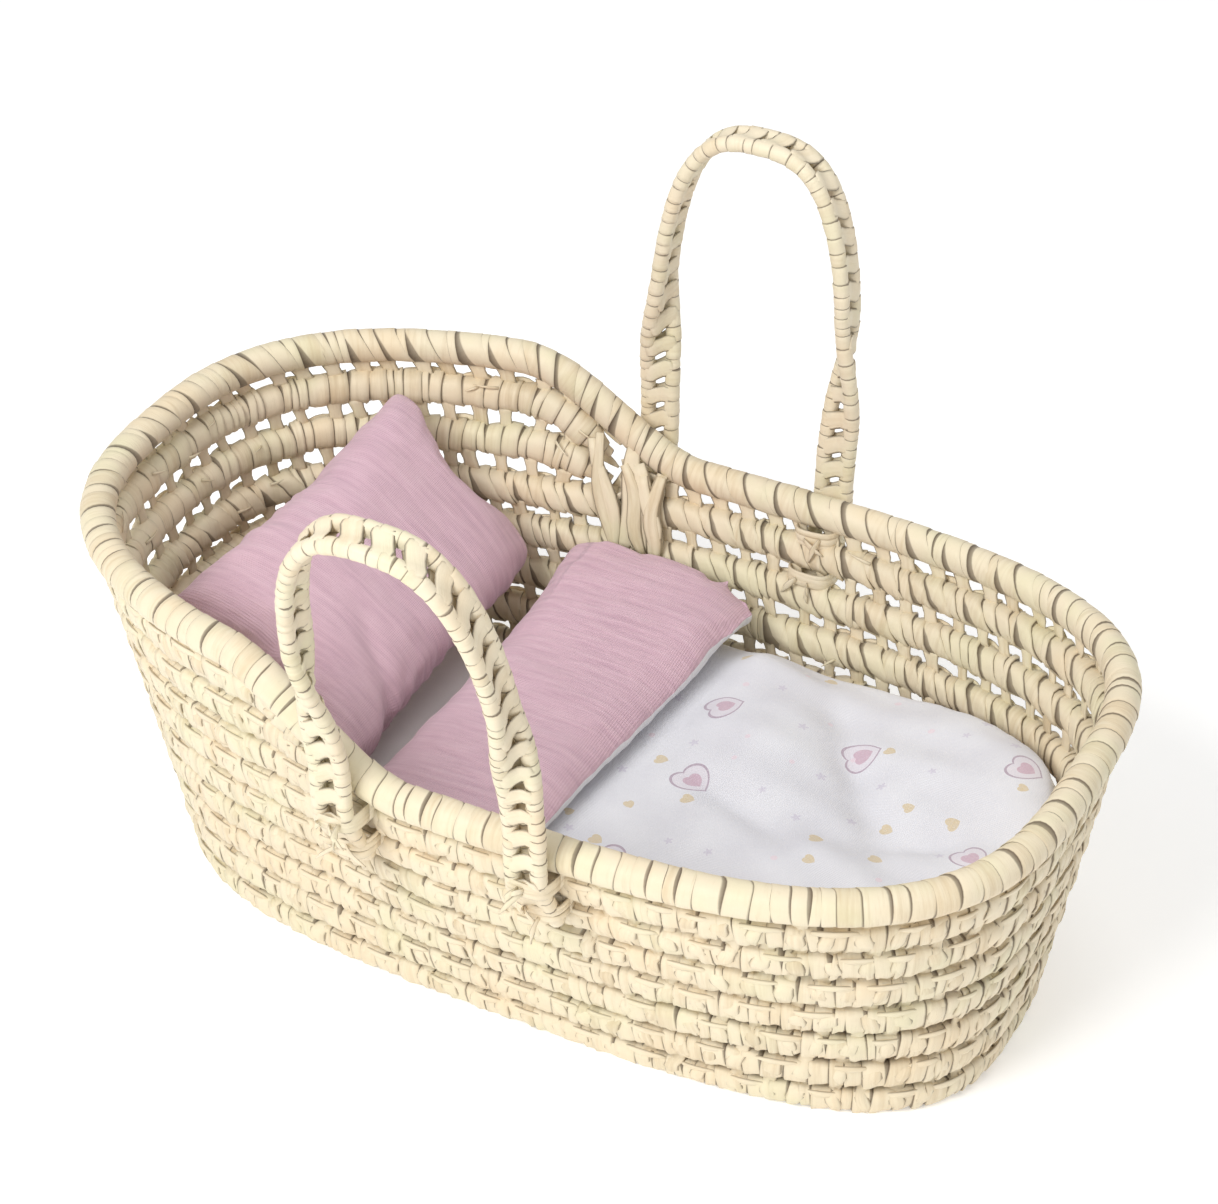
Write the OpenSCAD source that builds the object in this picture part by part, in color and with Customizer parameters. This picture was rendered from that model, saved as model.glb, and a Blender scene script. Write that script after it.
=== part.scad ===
// A doll's moses basket of palm leaf: sewn courses, a wound rim, two strap handles and its bedding.
// +X points to the foot end, +Z up. The origin is on the floor, under the middle of the rim.

/* [Basket] */
// Length between the middles of the rim roll
basket_l = 480; // [400:1:576]
// Width between the middles of the rim roll
basket_w = 291; // [243:1:349]
// Height of the rim's middle at the sides of the foot half
waist_h = 154; // [129:1:185]
// How far the rim climbs from the waist to the head
hood_rise = 46.6; // [40:0.1:56]
// How far the rim climbs at the very foot
foot_rise = 7; // [0:0.5:9]
// Outer length of the floor
base_l = 423; // [353:1:440]
// Outer width of the floor
base_w = 199; // [170:1:239]
// How far the floor's middle lies towards the foot
base_shift = 7.7; // [0:0.1:12]
// Squareness of the rim's outline at the foot, 2 is an ellipse
foot_square = 3.16; // [2:0.01:4]
// Squareness of the rim's outline at the head
head_square = 2.62; // [2:0.01:4]
// Squareness of the floor's outline
base_square = 3.2; // [2:0.1:4]

/* [Courses] */
// Height of one leaf wound course
course_h = 14; // [11:0.5:15]
// Thickness of one course through the wall
course_t = 9; // [7:0.5:11]
// Diameter of the rim roll
rim_d = 18; // [15:0.5:22]
// Height of the small holes under the rim
rim_gap = 5; // [4:0.5:7]
// Thickness of the leaf wound about the rim
rim_leaf = 1.6; // [1.2:0.1:2.4]
// Thickness of the floor
base_t = 8; // [6:0.5:10]
// Open width between the floor's rounds
base_gap = 4; // [2:0.5:6]
// Width of one leaf tie
tie_w = 5; // [3:0.5:6]
// Thickness of one leaf tie
tie_t = 3; // [2:0.5:3.5]
// How far a tie bites into what it sews
tie_bite = 0.5; // [0.3:0.1:0.8]
// Ties round one gap of the wall
tie_count = 48; // [36:2:60]
// Thickness of the bound bundle at each shoulder
shoulder_d = 7; // [5:0.5:8]

/* [Handles] */
// Span between the middles of a handle's legs
handle_span = 104; // [87:1:124]
// Height of a handle's middle line over its hinge line
handle_h = 157; // [131:1:189]
// Squareness of a handle's arch
handle_square = 2.9; // [2:0.1:3.5]
// How much nearer the middle each leg stands at its foot
handle_pinch = 4; // [0:0.5:6]
// Width of the strap across its two cords
strap_w = 20; // [18:0.5:24]
// Diameter of one cord of the strap
cord_d = 7.8; // [6.5:0.1:8.5]
// Thickness of the leaf wound about a cord
cord_leaf = 1; // [0.8:0.1:1.3]
// Lean of the near handle from upright, outwards
near_lean = 14; // [0:1:20]
// Lean of the far handle from upright, outwards
far_lean = 2.5; // [0:0.5:20]
// Height of the hinge line over the rim's middle
hinge_lift = 24; // [22:0.5:28]
// Free stretch of a strap on the moving side of its hinge line
flex_gap = 8.5; // [8:0.5:12]
// Height of a strap's lower end over the floor
foot_end_h = 113; // [100:1:120]

/* [Bedding] */
// Thickness of the mattress
mattress_t = 66; // [55:1:70]
// Free space round the mattress
mattress_play = 4; // [3:0.5:8]
// Thickness of a mattress, pillow or duvet cloth
cloth_t = 1.5; // [1:0.1:2]
// Thickness of the flat duvet
duvet_t = 20; // [16:1:22]
// Where the duvet is folded over, along the basket
fold_x = -70; // [-76:1:-60]
// Length of the folded end of the duvet
flap_l = 92; // [76:1:110]
// Thickness of the folded end
flap_t = 18; // [14:1:19]
// Width of the pillow along its lower edge
pillow_w = 202; // [180:1:206]
// How far the pillow's lower edge keeps from the fold of the duvet
pillow_gap = 15; // [13:0.5:24]
// Thickness of the pillow at its middle
pillow_t = 50; // [40:1:56]
// Free space between one soft piece and the next
soft_gap = 0.6; // [0.4:0.1:1.5]

/* [Hidden] */
COURSES = 7;
HOODS = 2;
ROUNDS = 4;

leaf_pale = "#e3d6b4";
leaf_mid = "#d6c59b";
leaf_dark = "#c3ae82";
pink = "#c79bab";
white = "#f3f1f2";
foam = "#ece3c8";

// Steps round a closed course, sides of a tube, and steps along a handle
RING_STEPS = 60;
HOOD_STEPS = 28;
HANDLE_STEPS = 30;
TUBE_SIDES = 8;
CORE_SIDES = 6;
HANDLE_TIES = 12;
BASE_TIES = 24;
SOFT_STEPS = 14;
SOFT_RINGS = 3;
PILLOW_STEPS = 10;

// A loose fit between a wound leaf and its core, and a small fit between neighbours
slip = 0.2;
fit = 0.3;

rim_r = rim_d / 2;
cord_r = cord_d / 2;
cord_off = (strap_w - cord_d) / 2;
leg_x = handle_span / 2 - handle_pinch;
hood_top_x = -basket_l * 0.24;
hood_foot_x = -basket_l * 0.036;
course_pitch = (waist_h - rim_r - rim_gap - course_h) / (COURSES - 1);
round_room = base_w / 2 - course_t - fit;
round_pitch = round_room / (ROUNDS + 0.5);

// Heights at which the bedding is stacked
mattress_z = base_t + fit;
duvet_z = mattress_z + mattress_t + soft_gap;
flap_z = duvet_z + duvet_t + soft_gap;

// ---- outline and wall ------------------------------------------------------------------------

function smooth(v) = let (c = max(0, min(1, v))) c * c * (3 - 2 * c);
function unit(v) = v / norm(v);
function reach(a, b, n, q) = pow(pow(abs(cos(q)) / a, n) + pow(abs(sin(q)) / b, n), -1 / n);

function rim_xy(q) =
  let (r = reach(basket_l / 2, basket_w / 2, cos(q) >= 0 ? foot_square : head_square, q))
  [r * cos(q), r * sin(q)];
function floor_xy(q, inset) =
  let (r = reach(base_l / 2 - inset, base_w / 2 - inset, base_square, q))
  [base_shift + r * cos(q), r * sin(q)];

function foot_lift(q) = foot_rise * pow(max(rim_xy(q)[0] / (basket_l / 2), 0), 3);
function hood_lift(q) =
  hood_rise * smooth((hood_foot_x - rim_xy(q)[0]) / (hood_foot_x - hood_top_x));
function rim_z(q) = waist_h + hood_lift(q) + foot_lift(q);

// Middle of the wall at height z
function wall_xy(q, z) =
  let (low = floor_xy(q, course_t / 2))
  low + (rim_xy(q) - low) * z / rim_z(q);
function wall_point(q, z) = let (p = wall_xy(q, z)) [p[0], p[1], z];
// Outward direction of the wall, level, and its slope out of upright
function wall_out(q, z) =
  let (d = wall_xy(q + 0.5, z) - wall_xy(q - 0.5, z))
  unit([d[1], -d[0], 0]);
function wall_slope(q) =
  let (o = wall_out(q, 0), d = rim_xy(q) - floor_xy(q, course_t / 2))
  atan((d[0] * o[0] + d[1] * o[1]) / rim_z(q));

function course_z(k, q) =
  (course_h / 2 + (k - 1) * course_pitch) * (1 + foot_lift(q) / waist_h);
function under_rim_z(q) = rim_z(q) - rim_r - rim_gap - course_h / 2;
function hood_z(j, q) =
  let (low = course_z(COURSES, q))
  low + (under_rim_z(q) - low) * j / HOODS;
// The hood's courses stop where there is no longer room for them under the rim, or at a lashing
hood_q = min([for (q = [90:0.5:180])
  if (under_rim_z(q) - course_z(COURSES, q) >= HOODS * (course_h + 1)
      && -wall_xy(q, course_z(COURSES, q))[0] > leg_x + strap_w / 2 + tie_t + tie_w) q]);

// The shoulder's bundle stands this many degrees past the hood's end
shoulder_back = 8;

RING_Q = [for (i = [0:RING_STEPS - 1]) 360 * i / RING_STEPS];
HOOD_Q = [for (i = [0:HOOD_STEPS]) hood_q + (360 - 2 * hood_q) * i / HOOD_STEPS];
TIE_Q = [for (i = [0:tie_count - 1]) 360 * (i + 0.5) / tie_count];

// ---- sweeps ----------------------------------------------------------------------------------

function side_faces(rings, m, closed) = [
  for (i = [0:rings - (closed ? 1 : 2)]) for (j = [0:m - 1])
    let (
      i2 = (i + 1) % rings,
      j2 = (j + 1) % m,
      a = i * m + j,
      b = i * m + j2,
      c = i2 * m + j2,
      d = i2 * m + j
    )
    each [[a, b, c], [a, c, d]]
];
function end_faces(rings, m) = [
  [for (j = [m - 1:-1:0]) j],
  [for (j = [0:m - 1]) (rings - 1) * m + j]
];

// points holds one list of m points for each ring
module sweep(points, closed) {
  m = len(points[0]);
  rings = len(points);
  polyhedron(
    [for (ring = points) each ring],
    concat(side_faces(rings, m, closed), closed ? [] : end_faces(rings, m)),
    convexity = 8
  );
}

COURSE_SECTION = [[1, 0], [0.5, 1], [-0.5, 1], [-1, 0], [-0.5, -1], [0.5, -1]];
function round_section(r, m) = [for (j = [0:m - 1]) [r * cos(360 * j / m), r * sin(360 * j / m)]];

// One ring of points about p: across along the outward direction, up along Z
function ring_at(p, out, section) =
  [for (s = section) p + out * s[0] + [0, 0, s[1]]];
function course_ring(q, z) =
  ring_at(wall_point(q, z), wall_out(q, z),
    [for (s = COURSE_SECTION) [s[0] * course_t / 2, s[1] * course_h / 2]]);
function rim_ring(q, r, m) =
  ring_at(wall_point(q, rim_z(q)), wall_out(q, rim_z(q)), round_section(r, m));

// ---- floor and wall --------------------------------------------------------------------------

module floor_outline(inset) {
  polygon([for (q = RING_Q) floor_xy(q, inset)]);
}

module floor_round(i) {
  outer = course_t + fit + (ROUNDS - i) * round_pitch;
  color(i % 2 == 0 ? leaf_mid : leaf_pale)
    linear_extrude(base_t)
      difference() {
        floor_outline(outer);
        floor_outline(outer + round_pitch - base_gap);
      }
}

module base_spine() {
  color(leaf_mid)
    linear_extrude(base_t)
      floor_outline(course_t + fit + ROUNDS * round_pitch);
}

module floor_tie(q, inset, gap) {
  p = floor_xy(q, inset);
  ahead = floor_xy(q + 0.5, inset) - floor_xy(q - 0.5, inset);
  translate([p[0], p[1], base_t / 2])
    rotate([0, 0, atan2(-ahead[0], ahead[1])])
      translate([-gap - tie_bite, -tie_w / 2, -tie_t / 2])
        cube([gap + 2 * tie_bite, tie_w, tie_t]);
}

module base_lacing() {
  color(leaf_dark)
    for (i = [1:ROUNDS], n = [0:BASE_TIES - 1])
      floor_tie(
        360 * (n + 0.5) / BASE_TIES,
        course_t + fit + (ROUNDS + 1 - i) * round_pitch - base_gap,
        base_gap
      );
}

module wall_course(k) {
  color(k % 2 == 0 ? leaf_mid : leaf_pale)
    sweep([for (q = RING_Q) course_ring(q, course_z(k, q))], true);
}

module hood_course(j) {
  color(j % 2 == 0 ? leaf_mid : leaf_pale)
    sweep([for (q = HOOD_Q) course_ring(q, hood_z(j, q))], false);
}

// Lowest underside of the rim over the width of a tie
function rim_under_z(q) = min(rim_z(q - 1), rim_z(q + 1)) - rim_r;

// One tie standing in the wall between heights low and high
module wall_tie(q, low, high) {
  mid = (low + high) / 2;
  out = wall_out(q, mid);
  translate(wall_point(q, mid))
    rotate([0, 0, atan2(out[1], out[0])])
      rotate([0, wall_slope(q), 0])
        cube([tie_t, tie_w, high - low + 2 * tie_bite], center = true);
}

// A tie stands either inside a lashing or wholly beside it
function clear_of_lashings(q, z) =
  let (off = abs(abs(wall_xy(q, z)[0]) - leg_x), half = tie_w / 2 + 2 * fit)
  off < strap_w / 2 - half || off > strap_w / 2 + tie_t + half;

// Gap 0 is between the floor and the first course, the last one is under the rim
module wall_lacing(k) {
  half = course_h / 2;
  color(leaf_dark)
    for (q = TIE_Q)
      if (k == 0)
        floor_tie(q, course_t, fit + tie_bite);
      else if (k < COURSES && clear_of_lashings(q, course_z(k, q) + course_pitch / 2))
        wall_tie(q, course_z(k, q) + half, course_z(k + 1, q) - half);
      else if (k == COURSES && abs(q - 180) > 180 - hood_q + 1
               && clear_of_lashings(q, course_z(k, q) + course_pitch / 2))
        wall_tie(q, course_z(COURSES, q) + half, rim_under_z(q));
}

module hood_lacing(j) {
  half = course_h / 2;
  color(leaf_dark)
    for (q = TIE_Q)
      if (abs(q - 180) < 180 - hood_q - 1)
        wall_tie(
          q,
          (j == 1 ? course_z(COURSES, q) : hood_z(j - 1, q)) + half,
          j > HOODS ? rim_under_z(q) : hood_z(j, q) - half
        );
}

// Heights of the lashings, and the inside of the wall over a lashing's width
function lash_z(k) =
  k < COURSES ? course_z(k, 90) + course_pitch / 2
              : (course_z(k, 90) + course_h / 2 + waist_h - rim_r) / 2;
lash_half = strap_w / 2 + fit;
function lash_inner_y(x, z) =
  let (ends = [for (s = [-1, 1]) atan2(wall_xy(90, z)[1], x + s * (lash_half + tie_t))])
  min([for (q = ends) wall_xy(q, z)[1]]) - course_t / 2 - fit;

// The bundle stands inside the wall and the lashing, where the hood dies away
module shoulder_tie(side) {
  q = side * (hood_q - shoulder_back);
  lash = lash_z(COURSES);
  low = course_z(COURSES, q);
  high = rim_z(q) - rim_r - fit;
  mid = (low + high) / 2;
  out = wall_out(q, mid);
  inset = abs(wall_xy(q, lash)[1]) - lash_inner_y(-leg_x, lash) + tie_t + shoulder_d / 2 + 5 * fit;
  color(leaf_pale)
    translate(wall_point(q, mid) - out * inset)
      rotate([0, 0, atan2(out[1], out[0])])
        rotate([0, wall_slope(q), 0])
          cylinder(h = high - low, d = shoulder_d, center = true, $fn = 32);
}

module rim_core() {
  color(leaf_dark)
    sweep([for (q = RING_Q) rim_ring(q, rim_r - rim_leaf - slip, CORE_SIDES)], true);
}

module rim_wrap() {
  color(leaf_pale)
    difference() {
      sweep([for (q = RING_Q) rim_ring(q, rim_r, TUBE_SIDES)], true);
      sweep([for (q = RING_Q) rim_ring(q, rim_r - rim_leaf, CORE_SIDES)], true);
    }
}

// ---- handles: local x along the basket, y outwards, z up from the hinge line -------------------

hinge_y = rim_xy(90)[1] + rim_r + cord_r + 2 * fit + 1;
hinge_z = waist_h + hinge_lift;
twist_h = handle_h * 0.45;

function arch_xz(t) =
  let (
    x = handle_span / 2 * sign(cos(t)) * pow(abs(cos(t)), 2 / handle_square),
    z = handle_h * pow(abs(sin(t)), 2 / handle_square)
  )
  [x - sign(cos(t)) * handle_pinch * pow(1 - z / handle_h, 2), z];
function arch_point(t) = let (p = arch_xz(t)) [p[0], 0, p[1]];
function arch_ahead(t) = unit(arch_point(t - 0.3) - arch_point(t + 0.3));
// The strap's face looks outwards at its feet and turns to the arch's outside on the way up
function arch_face(t) =
  let (
    a = arch_ahead(t),
    over = [-a[2], 0, a[0]],
    turn = 90 * smooth((arch_xz(t)[1] - flex_gap) / twist_h)
  )
  cos(turn) * [0, 1, 0] + sin(turn) * over;

arch_start = asin(pow(flex_gap / handle_h, handle_square / 2));
ARCH_T = [for (i = [0:HANDLE_STEPS])
  180 - arch_start - (180 - 2 * arch_start) * i / HANDLE_STEPS];

function cord_ring(t, side, r, m, push) =
  let (
    face = arch_face(t),
    ahead = arch_ahead(t),
    over = [-ahead[2], 0, ahead[0]],
    mid = arch_point(t) + cross(face, ahead) * side * cord_off + ahead * push
  )
  [for (s = round_section(r, m)) mid - [0, 1, 0] * s[0] + over * s[1]];
function cord_rings(side, r, m, push) = [
  for (i = [0:HANDLE_STEPS])
    cord_ring(ARCH_T[i], side, r, m, i == 0 ? -push : i == HANDLE_STEPS ? push : 0)
];

// Puts a handle's local frame on its hinge line: side is -1 at the near side, 1 at the far side
module on_hinge(side, lean) {
  translate([0, side * hinge_y, hinge_z])
    rotate([-side * lean, 0, 0])
      mirror([0, side < 0 ? 1 : 0, 0])
        children();
}

module cord_wrap(side) {
  difference() {
    sweep(cord_rings(side, cord_r, TUBE_SIDES, 0), false);
    sweep(cord_rings(side, cord_r - cord_leaf, CORE_SIDES, 1), false);
  }
}

module cord_core(side) {
  sweep(cord_rings(side, cord_r - cord_leaf - slip, CORE_SIDES, 0), false);
}

module strap_tie(t) {
  face = arch_face(t) * tie_t / 3;
  ahead = arch_ahead(t) * tie_w / 2;
  across = unit(cross(face, ahead)) * (cord_off - cord_r + tie_bite);
  sweep([for (s = [-1, 1])
    [for (c = [[1, 1], [-1, 1], [-1, -1], [1, -1]])
      arch_point(t) + across * s + ahead * c[0] + face * c[1]]], false);
}

module strap_lacing() {
  for (i = [1:HANDLE_TIES])
    strap_tie(180 * i / (HANDLE_TIES + 1));
}

// A strap's foot comes over the rim, bends at a knee and lies down the outside of the wall
knee_y = rim_xy(90)[1] + rim_r + cord_r + fit;
knee_z = waist_h - rim_r;
foot_end_y = wall_xy(90, foot_end_h)[1] + course_t / 2 + cord_r + fit;

function foot_y(z) =
  knee_y + (foot_end_y - knee_y) * (knee_z - z) / (knee_z - foot_end_h);

function foot_ring(x, y, z) =
  [for (s = round_section(cord_r, TUBE_SIDES)) [x + s[0], y - s[1], z]];

module foot_cord(x) {
  sweep([
    foot_ring(x, foot_end_y, foot_end_h),
    foot_ring(x, knee_y, knee_z),
    foot_ring(x, hinge_y, hinge_z - cord_r + 2 * tie_bite)
  ], false);
}

module handle_feet(side) {
  color(leaf_pale)
    mirror([0, side < 0 ? 1 : 0, 0])
      for (leg = [-1, 1], cord = [-1, 1])
        foot_cord(leg * leg_x + cord * cord_off);
}

// The stretch of strap that bends at the hinge line
module handle_bends(side) {
  color(leaf_mid)
    for (leg = [-1, 1])
      translate([leg * leg_x - strap_w / 2, side * hinge_y, hinge_z])
        rotate([0, 90, 0])
          cylinder(h = strap_w, d = cord_d, $fn = 32);
}

// A lashing goes round the strap and through a gap of the wall
module lashing(x, z) {
  inner_y = lash_inner_y(x, z);
  outer_y = foot_y(z + tie_t / 2) + cord_r + fit;
  translate([x, 0, z - tie_t / 2])
    linear_extrude(tie_t)
      difference() {
        translate([-lash_half - tie_t, inner_y - tie_t])
          square([2 * (lash_half + tie_t), outer_y - inner_y + 2 * tie_t]);
        translate([-lash_half, inner_y])
          square([2 * lash_half, outer_y - inner_y]);
      }
}

module handle_lashings(side) {
  color(leaf_dark)
    mirror([0, side < 0 ? 1 : 0, 0])
      for (leg = [-1, 1], k = [COURSES - 1, COURSES])
        lashing(leg * leg_x, lash_z(k));
}

// ---- bedding ---------------------------------------------------------------------------------

module mattress_outline(inset) {
  floor_outline(course_t + mattress_play + inset);
}

module mattress_cover() {
  color(white)
    translate([0, 0, mattress_z])
      difference() {
        linear_extrude(mattress_t)
          mattress_outline(0);
        translate([0, 0, cloth_t])
          linear_extrude(mattress_t - 2 * cloth_t)
            mattress_outline(cloth_t);
      }
}

module mattress_foam() {
  color(foam)
    translate([0, 0, mattress_z + cloth_t + slip])
      linear_extrude(mattress_t - 2 * (cloth_t + slip))
        mattress_outline(cloth_t + slip);
}

// The inside of the wall at height z, and the angle at which it has a given x
function inner_xy(q, z, back) =
  let (out = wall_out(q, z))
  wall_xy(q, z) - [out[0], out[1]] * (course_t / 2 + back);
function inner_q(x, z, back) =
  lookup(x, [for (q = [178:-2:2]) [inner_xy(q, z, back)[0], q]]);

// Outline of a soft slab that fills the basket from x0 to x1, drawn clockwise
soft_corner = 12;
soft_inset = 0.98;
flap_puff = 4;
soft_foot_x = inner_xy(0, duvet_z, mattress_play + soft_gap)[0];

function slab_outline(x0, x1) =
  let (
    back = mattress_play + soft_gap,
    from_q = x1 < soft_foot_x ? inner_q(x1 - soft_corner, duvet_z, back) : 1,
    to_q = inner_q(x0 + soft_corner, duvet_z, back),
    edge = [for (i = [0:SOFT_STEPS])
      inner_xy(from_q + (to_q - from_q) * i / SOFT_STEPS, duvet_z, back)],
    y0 = edge[SOFT_STEPS][1] - soft_corner,
    y1 = edge[0][1] - soft_corner
  )
  concat(
    x1 < soft_foot_x ? [[x1, y1], [x1, -y1]] : [],
    [for (i = [0:SOFT_STEPS]) [edge[i][0], -edge[i][1]]],
    [[x0, -y0], [x0, y0]],
    [for (i = [SOFT_STEPS:-1:0]) edge[i]]
  );

// from and to are the heights of the slab's faces at its rim, bulge lifts its middle
module slab(x0, x1, from, to, bulge) {
  outline = slab_outline(x0, x1);
  middle = [(x0 + x1) / 2, 0];
  ring = function (z, share)
    [for (p = outline) let (s = middle + (p - middle) * share) [s[0], s[1], z]];
  lows = [for (i = [1:SOFT_RINGS]) ring(from, soft_inset * i / SOFT_RINGS)];
  highs = [for (i = [SOFT_RINGS:-1:1])
    let (s = i / SOFT_RINGS)
    ring(to + bulge * (1 - s * s * s), soft_inset * s)];
  sweep(concat(lows, [ring((from + to) / 2, 1)], highs), false);
}

module duvet_gauze_side() {
  color(pink)
    slab(fold_x, soft_foot_x, duvet_z, duvet_z + duvet_t / 2 - slip, 0);
}

module duvet_print_side() {
  color(white)
    slab(fold_x, soft_foot_x, duvet_z + duvet_t / 2, duvet_z + duvet_t, 0);
}

module flap_print_side() {
  color(white)
    slab(fold_x, fold_x + flap_l, flap_z, flap_z + flap_t / 2 - slip, 0);
}

module flap_gauze_side() {
  color(pink)
    slab(fold_x, fold_x + flap_l, flap_z + flap_t / 2, flap_z + flap_t, flap_puff);
}

// The pillow leans on the wall of the head: two upper corners near the wall, two lower ones free
function near_wall(q, z, back) =
  wall_point(q, z) - wall_out(q, z) * (course_t / 2 + back);

pillow_far_q = 146;
pillow_near_q = 197;
far_drop = 12;
near_drop = 46;
far_back = 9;
near_back = 12;
pillow_skew = 5;
far_raise = 3;
near_dip = 2;
upper_far = near_wall(pillow_far_q, rim_z(pillow_far_q) - rim_r - far_drop, far_back);
upper_near = near_wall(pillow_near_q, rim_z(pillow_near_q) - rim_r - near_drop, near_back);
lower_x = fold_x - pillow_gap;
lower_far = [
  lower_x - pillow_skew,
  inner_xy(inner_q(lower_x, flap_z, 0), flap_z, pillow_skew)[1],
  flap_z + far_raise
];
lower_near = [lower_x, lower_far[1] - pillow_w, flap_z - near_dip];

// Place on the pillow: u across from near to far, v up the slope, w through it
function pillow_mid(u, v) =
  (lower_near * (1 - u) + lower_far * u) * (1 - v) + (upper_near * (1 - u) + upper_far * u) * v;
function pillow_up() =
  unit(cross(upper_far + lower_far - upper_near - lower_near,
             upper_near + upper_far - lower_near - lower_far));
function crown(u, v, t) =
  t / 2 * pow(max(0, (1 - pow(2 * u - 1, 4)) * (1 - pow(2 * v - 1, 4))), 0.6);
function pillow_point(u, v, w, t) =
  let (
    u2 = 0.5 + (u - 0.5) * (1 - 0.06 * pow(sin(180 * v), 2)),
    v2 = 0.5 + (v - 0.5) * (1 - 0.06 * pow(sin(180 * u), 2))
  )
  pillow_mid(u2, v2) + pillow_up() * (w * (crown(u, v, t) + 1));

module pillow_form(t, inset) {
  n = PILLOW_STEPS;
  at = function (i) inset + (1 - 2 * inset) * i / n;
  faces = function (base, flip)
    [for (i = [0:n - 1]) for (j = [0:n - 1])
      let (a = base + i * (n + 1) + j, quad = [a, a + 1, a + n + 2, a + n + 1])
      each flip
        ? [[quad[2], quad[1], quad[0]], [quad[3], quad[2], quad[0]]]
        : [[quad[0], quad[1], quad[2]], [quad[0], quad[2], quad[3]]]];
  top = (n + 1) * (n + 1);
  edge = concat(
    [for (j = [0:n - 1]) j],
    [for (i = [0:n - 1]) i * (n + 1) + n],
    [for (j = [n:-1:1]) n * (n + 1) + j],
    [for (i = [n:-1:1]) i * (n + 1)]
  );
  m = len(edge);
  polyhedron(
    concat(
      [for (i = [0:n]) for (j = [0:n]) pillow_point(at(i), at(j), -1, t)],
      [for (i = [0:n]) for (j = [0:n]) pillow_point(at(i), at(j), 1, t)]
    ),
    concat(
      faces(0, true), faces(top, false),
      [for (k = [0:m - 1])
        let (next = edge[(k + 1) % m])
        each [[edge[k], next, top + next], [edge[k], top + next, top + edge[k]]]]
    ),
    convexity = 6
  );
}

module pillow_cover() {
  color(pink)
    difference() {
      pillow_form(pillow_t, 0);
      pillow_form(pillow_t - 2 * cloth_t, 0.02);
    }
}

module pillow_filling() {
  color(white)
    pillow_form(pillow_t - 4 * cloth_t, 0.04);
}

// ---- every piece by its name -----------------------------------------------------------------

base_spine();
floor_round(1);  // base_round_1
floor_round(2);  // base_round_2
floor_round(3);  // base_round_3
floor_round(4);  // base_round_4
base_lacing();
wall_course(1);  // wall_course_1
wall_course(2);  // wall_course_2
wall_course(3);  // wall_course_3
wall_course(4);  // wall_course_4
wall_course(5);  // wall_course_5
wall_course(6);  // wall_course_6
wall_course(7);  // wall_course_7
hood_course(1);  // hood_course_1
hood_course(2);  // hood_course_2
wall_lacing(0);  // wall_lacing_0
wall_lacing(1);  // wall_lacing_1
wall_lacing(2);  // wall_lacing_2
wall_lacing(3);  // wall_lacing_3
wall_lacing(4);  // wall_lacing_4
wall_lacing(5);  // wall_lacing_5
wall_lacing(6);  // wall_lacing_6
wall_lacing(7);  // wall_lacing_7
hood_lacing(1);  // hood_lacing_1
hood_lacing(2);  // hood_lacing_2
hood_lacing(3);  // hood_lacing_3
shoulder_tie(-1);  // shoulder_tie_near
shoulder_tie(1);  // shoulder_tie_far
rim_core();
rim_wrap();
handle_feet(-1);  // near_handle_feet
handle_bends(-1);  // near_handle_bends
handle_lashings(-1);  // near_handle_lashings
handle_feet(1);  // far_handle_feet
handle_bends(1);  // far_handle_bends
handle_lashings(1);  // far_handle_lashings
color(leaf_pale) on_hinge(-1, near_lean) cord_wrap(1);  // near_handle_front_wrap
color(leaf_dark) on_hinge(-1, near_lean) cord_core(1);  // near_handle_front_core
color(leaf_mid) on_hinge(-1, near_lean) cord_wrap(-1);  // near_handle_back_wrap
color(leaf_dark) on_hinge(-1, near_lean) cord_core(-1);  // near_handle_back_core
color(leaf_dark) on_hinge(-1, near_lean) strap_lacing();  // near_handle_lacing
color(leaf_pale) on_hinge(1, far_lean) cord_wrap(1);  // far_handle_front_wrap
color(leaf_dark) on_hinge(1, far_lean) cord_core(1);  // far_handle_front_core
color(leaf_mid) on_hinge(1, far_lean) cord_wrap(-1);  // far_handle_back_wrap
color(leaf_dark) on_hinge(1, far_lean) cord_core(-1);  // far_handle_back_core
color(leaf_dark) on_hinge(1, far_lean) strap_lacing();  // far_handle_lacing
mattress_cover();
mattress_foam();
pillow_cover();
pillow_filling();
duvet_print_side();
duvet_gauze_side();
flap_print_side();
flap_gauze_side();
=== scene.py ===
"""A doll's moses basket of palm leaf, with its pillow, mattress and folded duvet."""
import math
import random

import bpy
import numpy as np
from mathutils import Matrix, Vector


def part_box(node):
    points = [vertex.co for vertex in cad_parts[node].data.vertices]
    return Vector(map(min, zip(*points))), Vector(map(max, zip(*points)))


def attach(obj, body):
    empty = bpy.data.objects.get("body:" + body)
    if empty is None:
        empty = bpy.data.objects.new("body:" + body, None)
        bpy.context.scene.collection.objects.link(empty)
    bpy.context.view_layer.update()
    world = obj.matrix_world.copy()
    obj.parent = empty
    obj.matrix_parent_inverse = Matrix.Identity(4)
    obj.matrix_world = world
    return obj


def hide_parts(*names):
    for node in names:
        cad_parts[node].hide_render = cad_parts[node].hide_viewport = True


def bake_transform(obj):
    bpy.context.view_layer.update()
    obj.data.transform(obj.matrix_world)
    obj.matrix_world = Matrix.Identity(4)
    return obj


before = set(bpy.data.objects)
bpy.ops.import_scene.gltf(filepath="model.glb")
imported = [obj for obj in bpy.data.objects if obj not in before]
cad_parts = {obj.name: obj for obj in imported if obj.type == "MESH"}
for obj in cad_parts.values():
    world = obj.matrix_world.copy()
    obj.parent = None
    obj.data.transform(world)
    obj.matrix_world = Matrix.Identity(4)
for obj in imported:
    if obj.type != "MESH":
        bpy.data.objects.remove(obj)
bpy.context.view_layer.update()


MM = 0.001
TAU = 2 * math.pi

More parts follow.
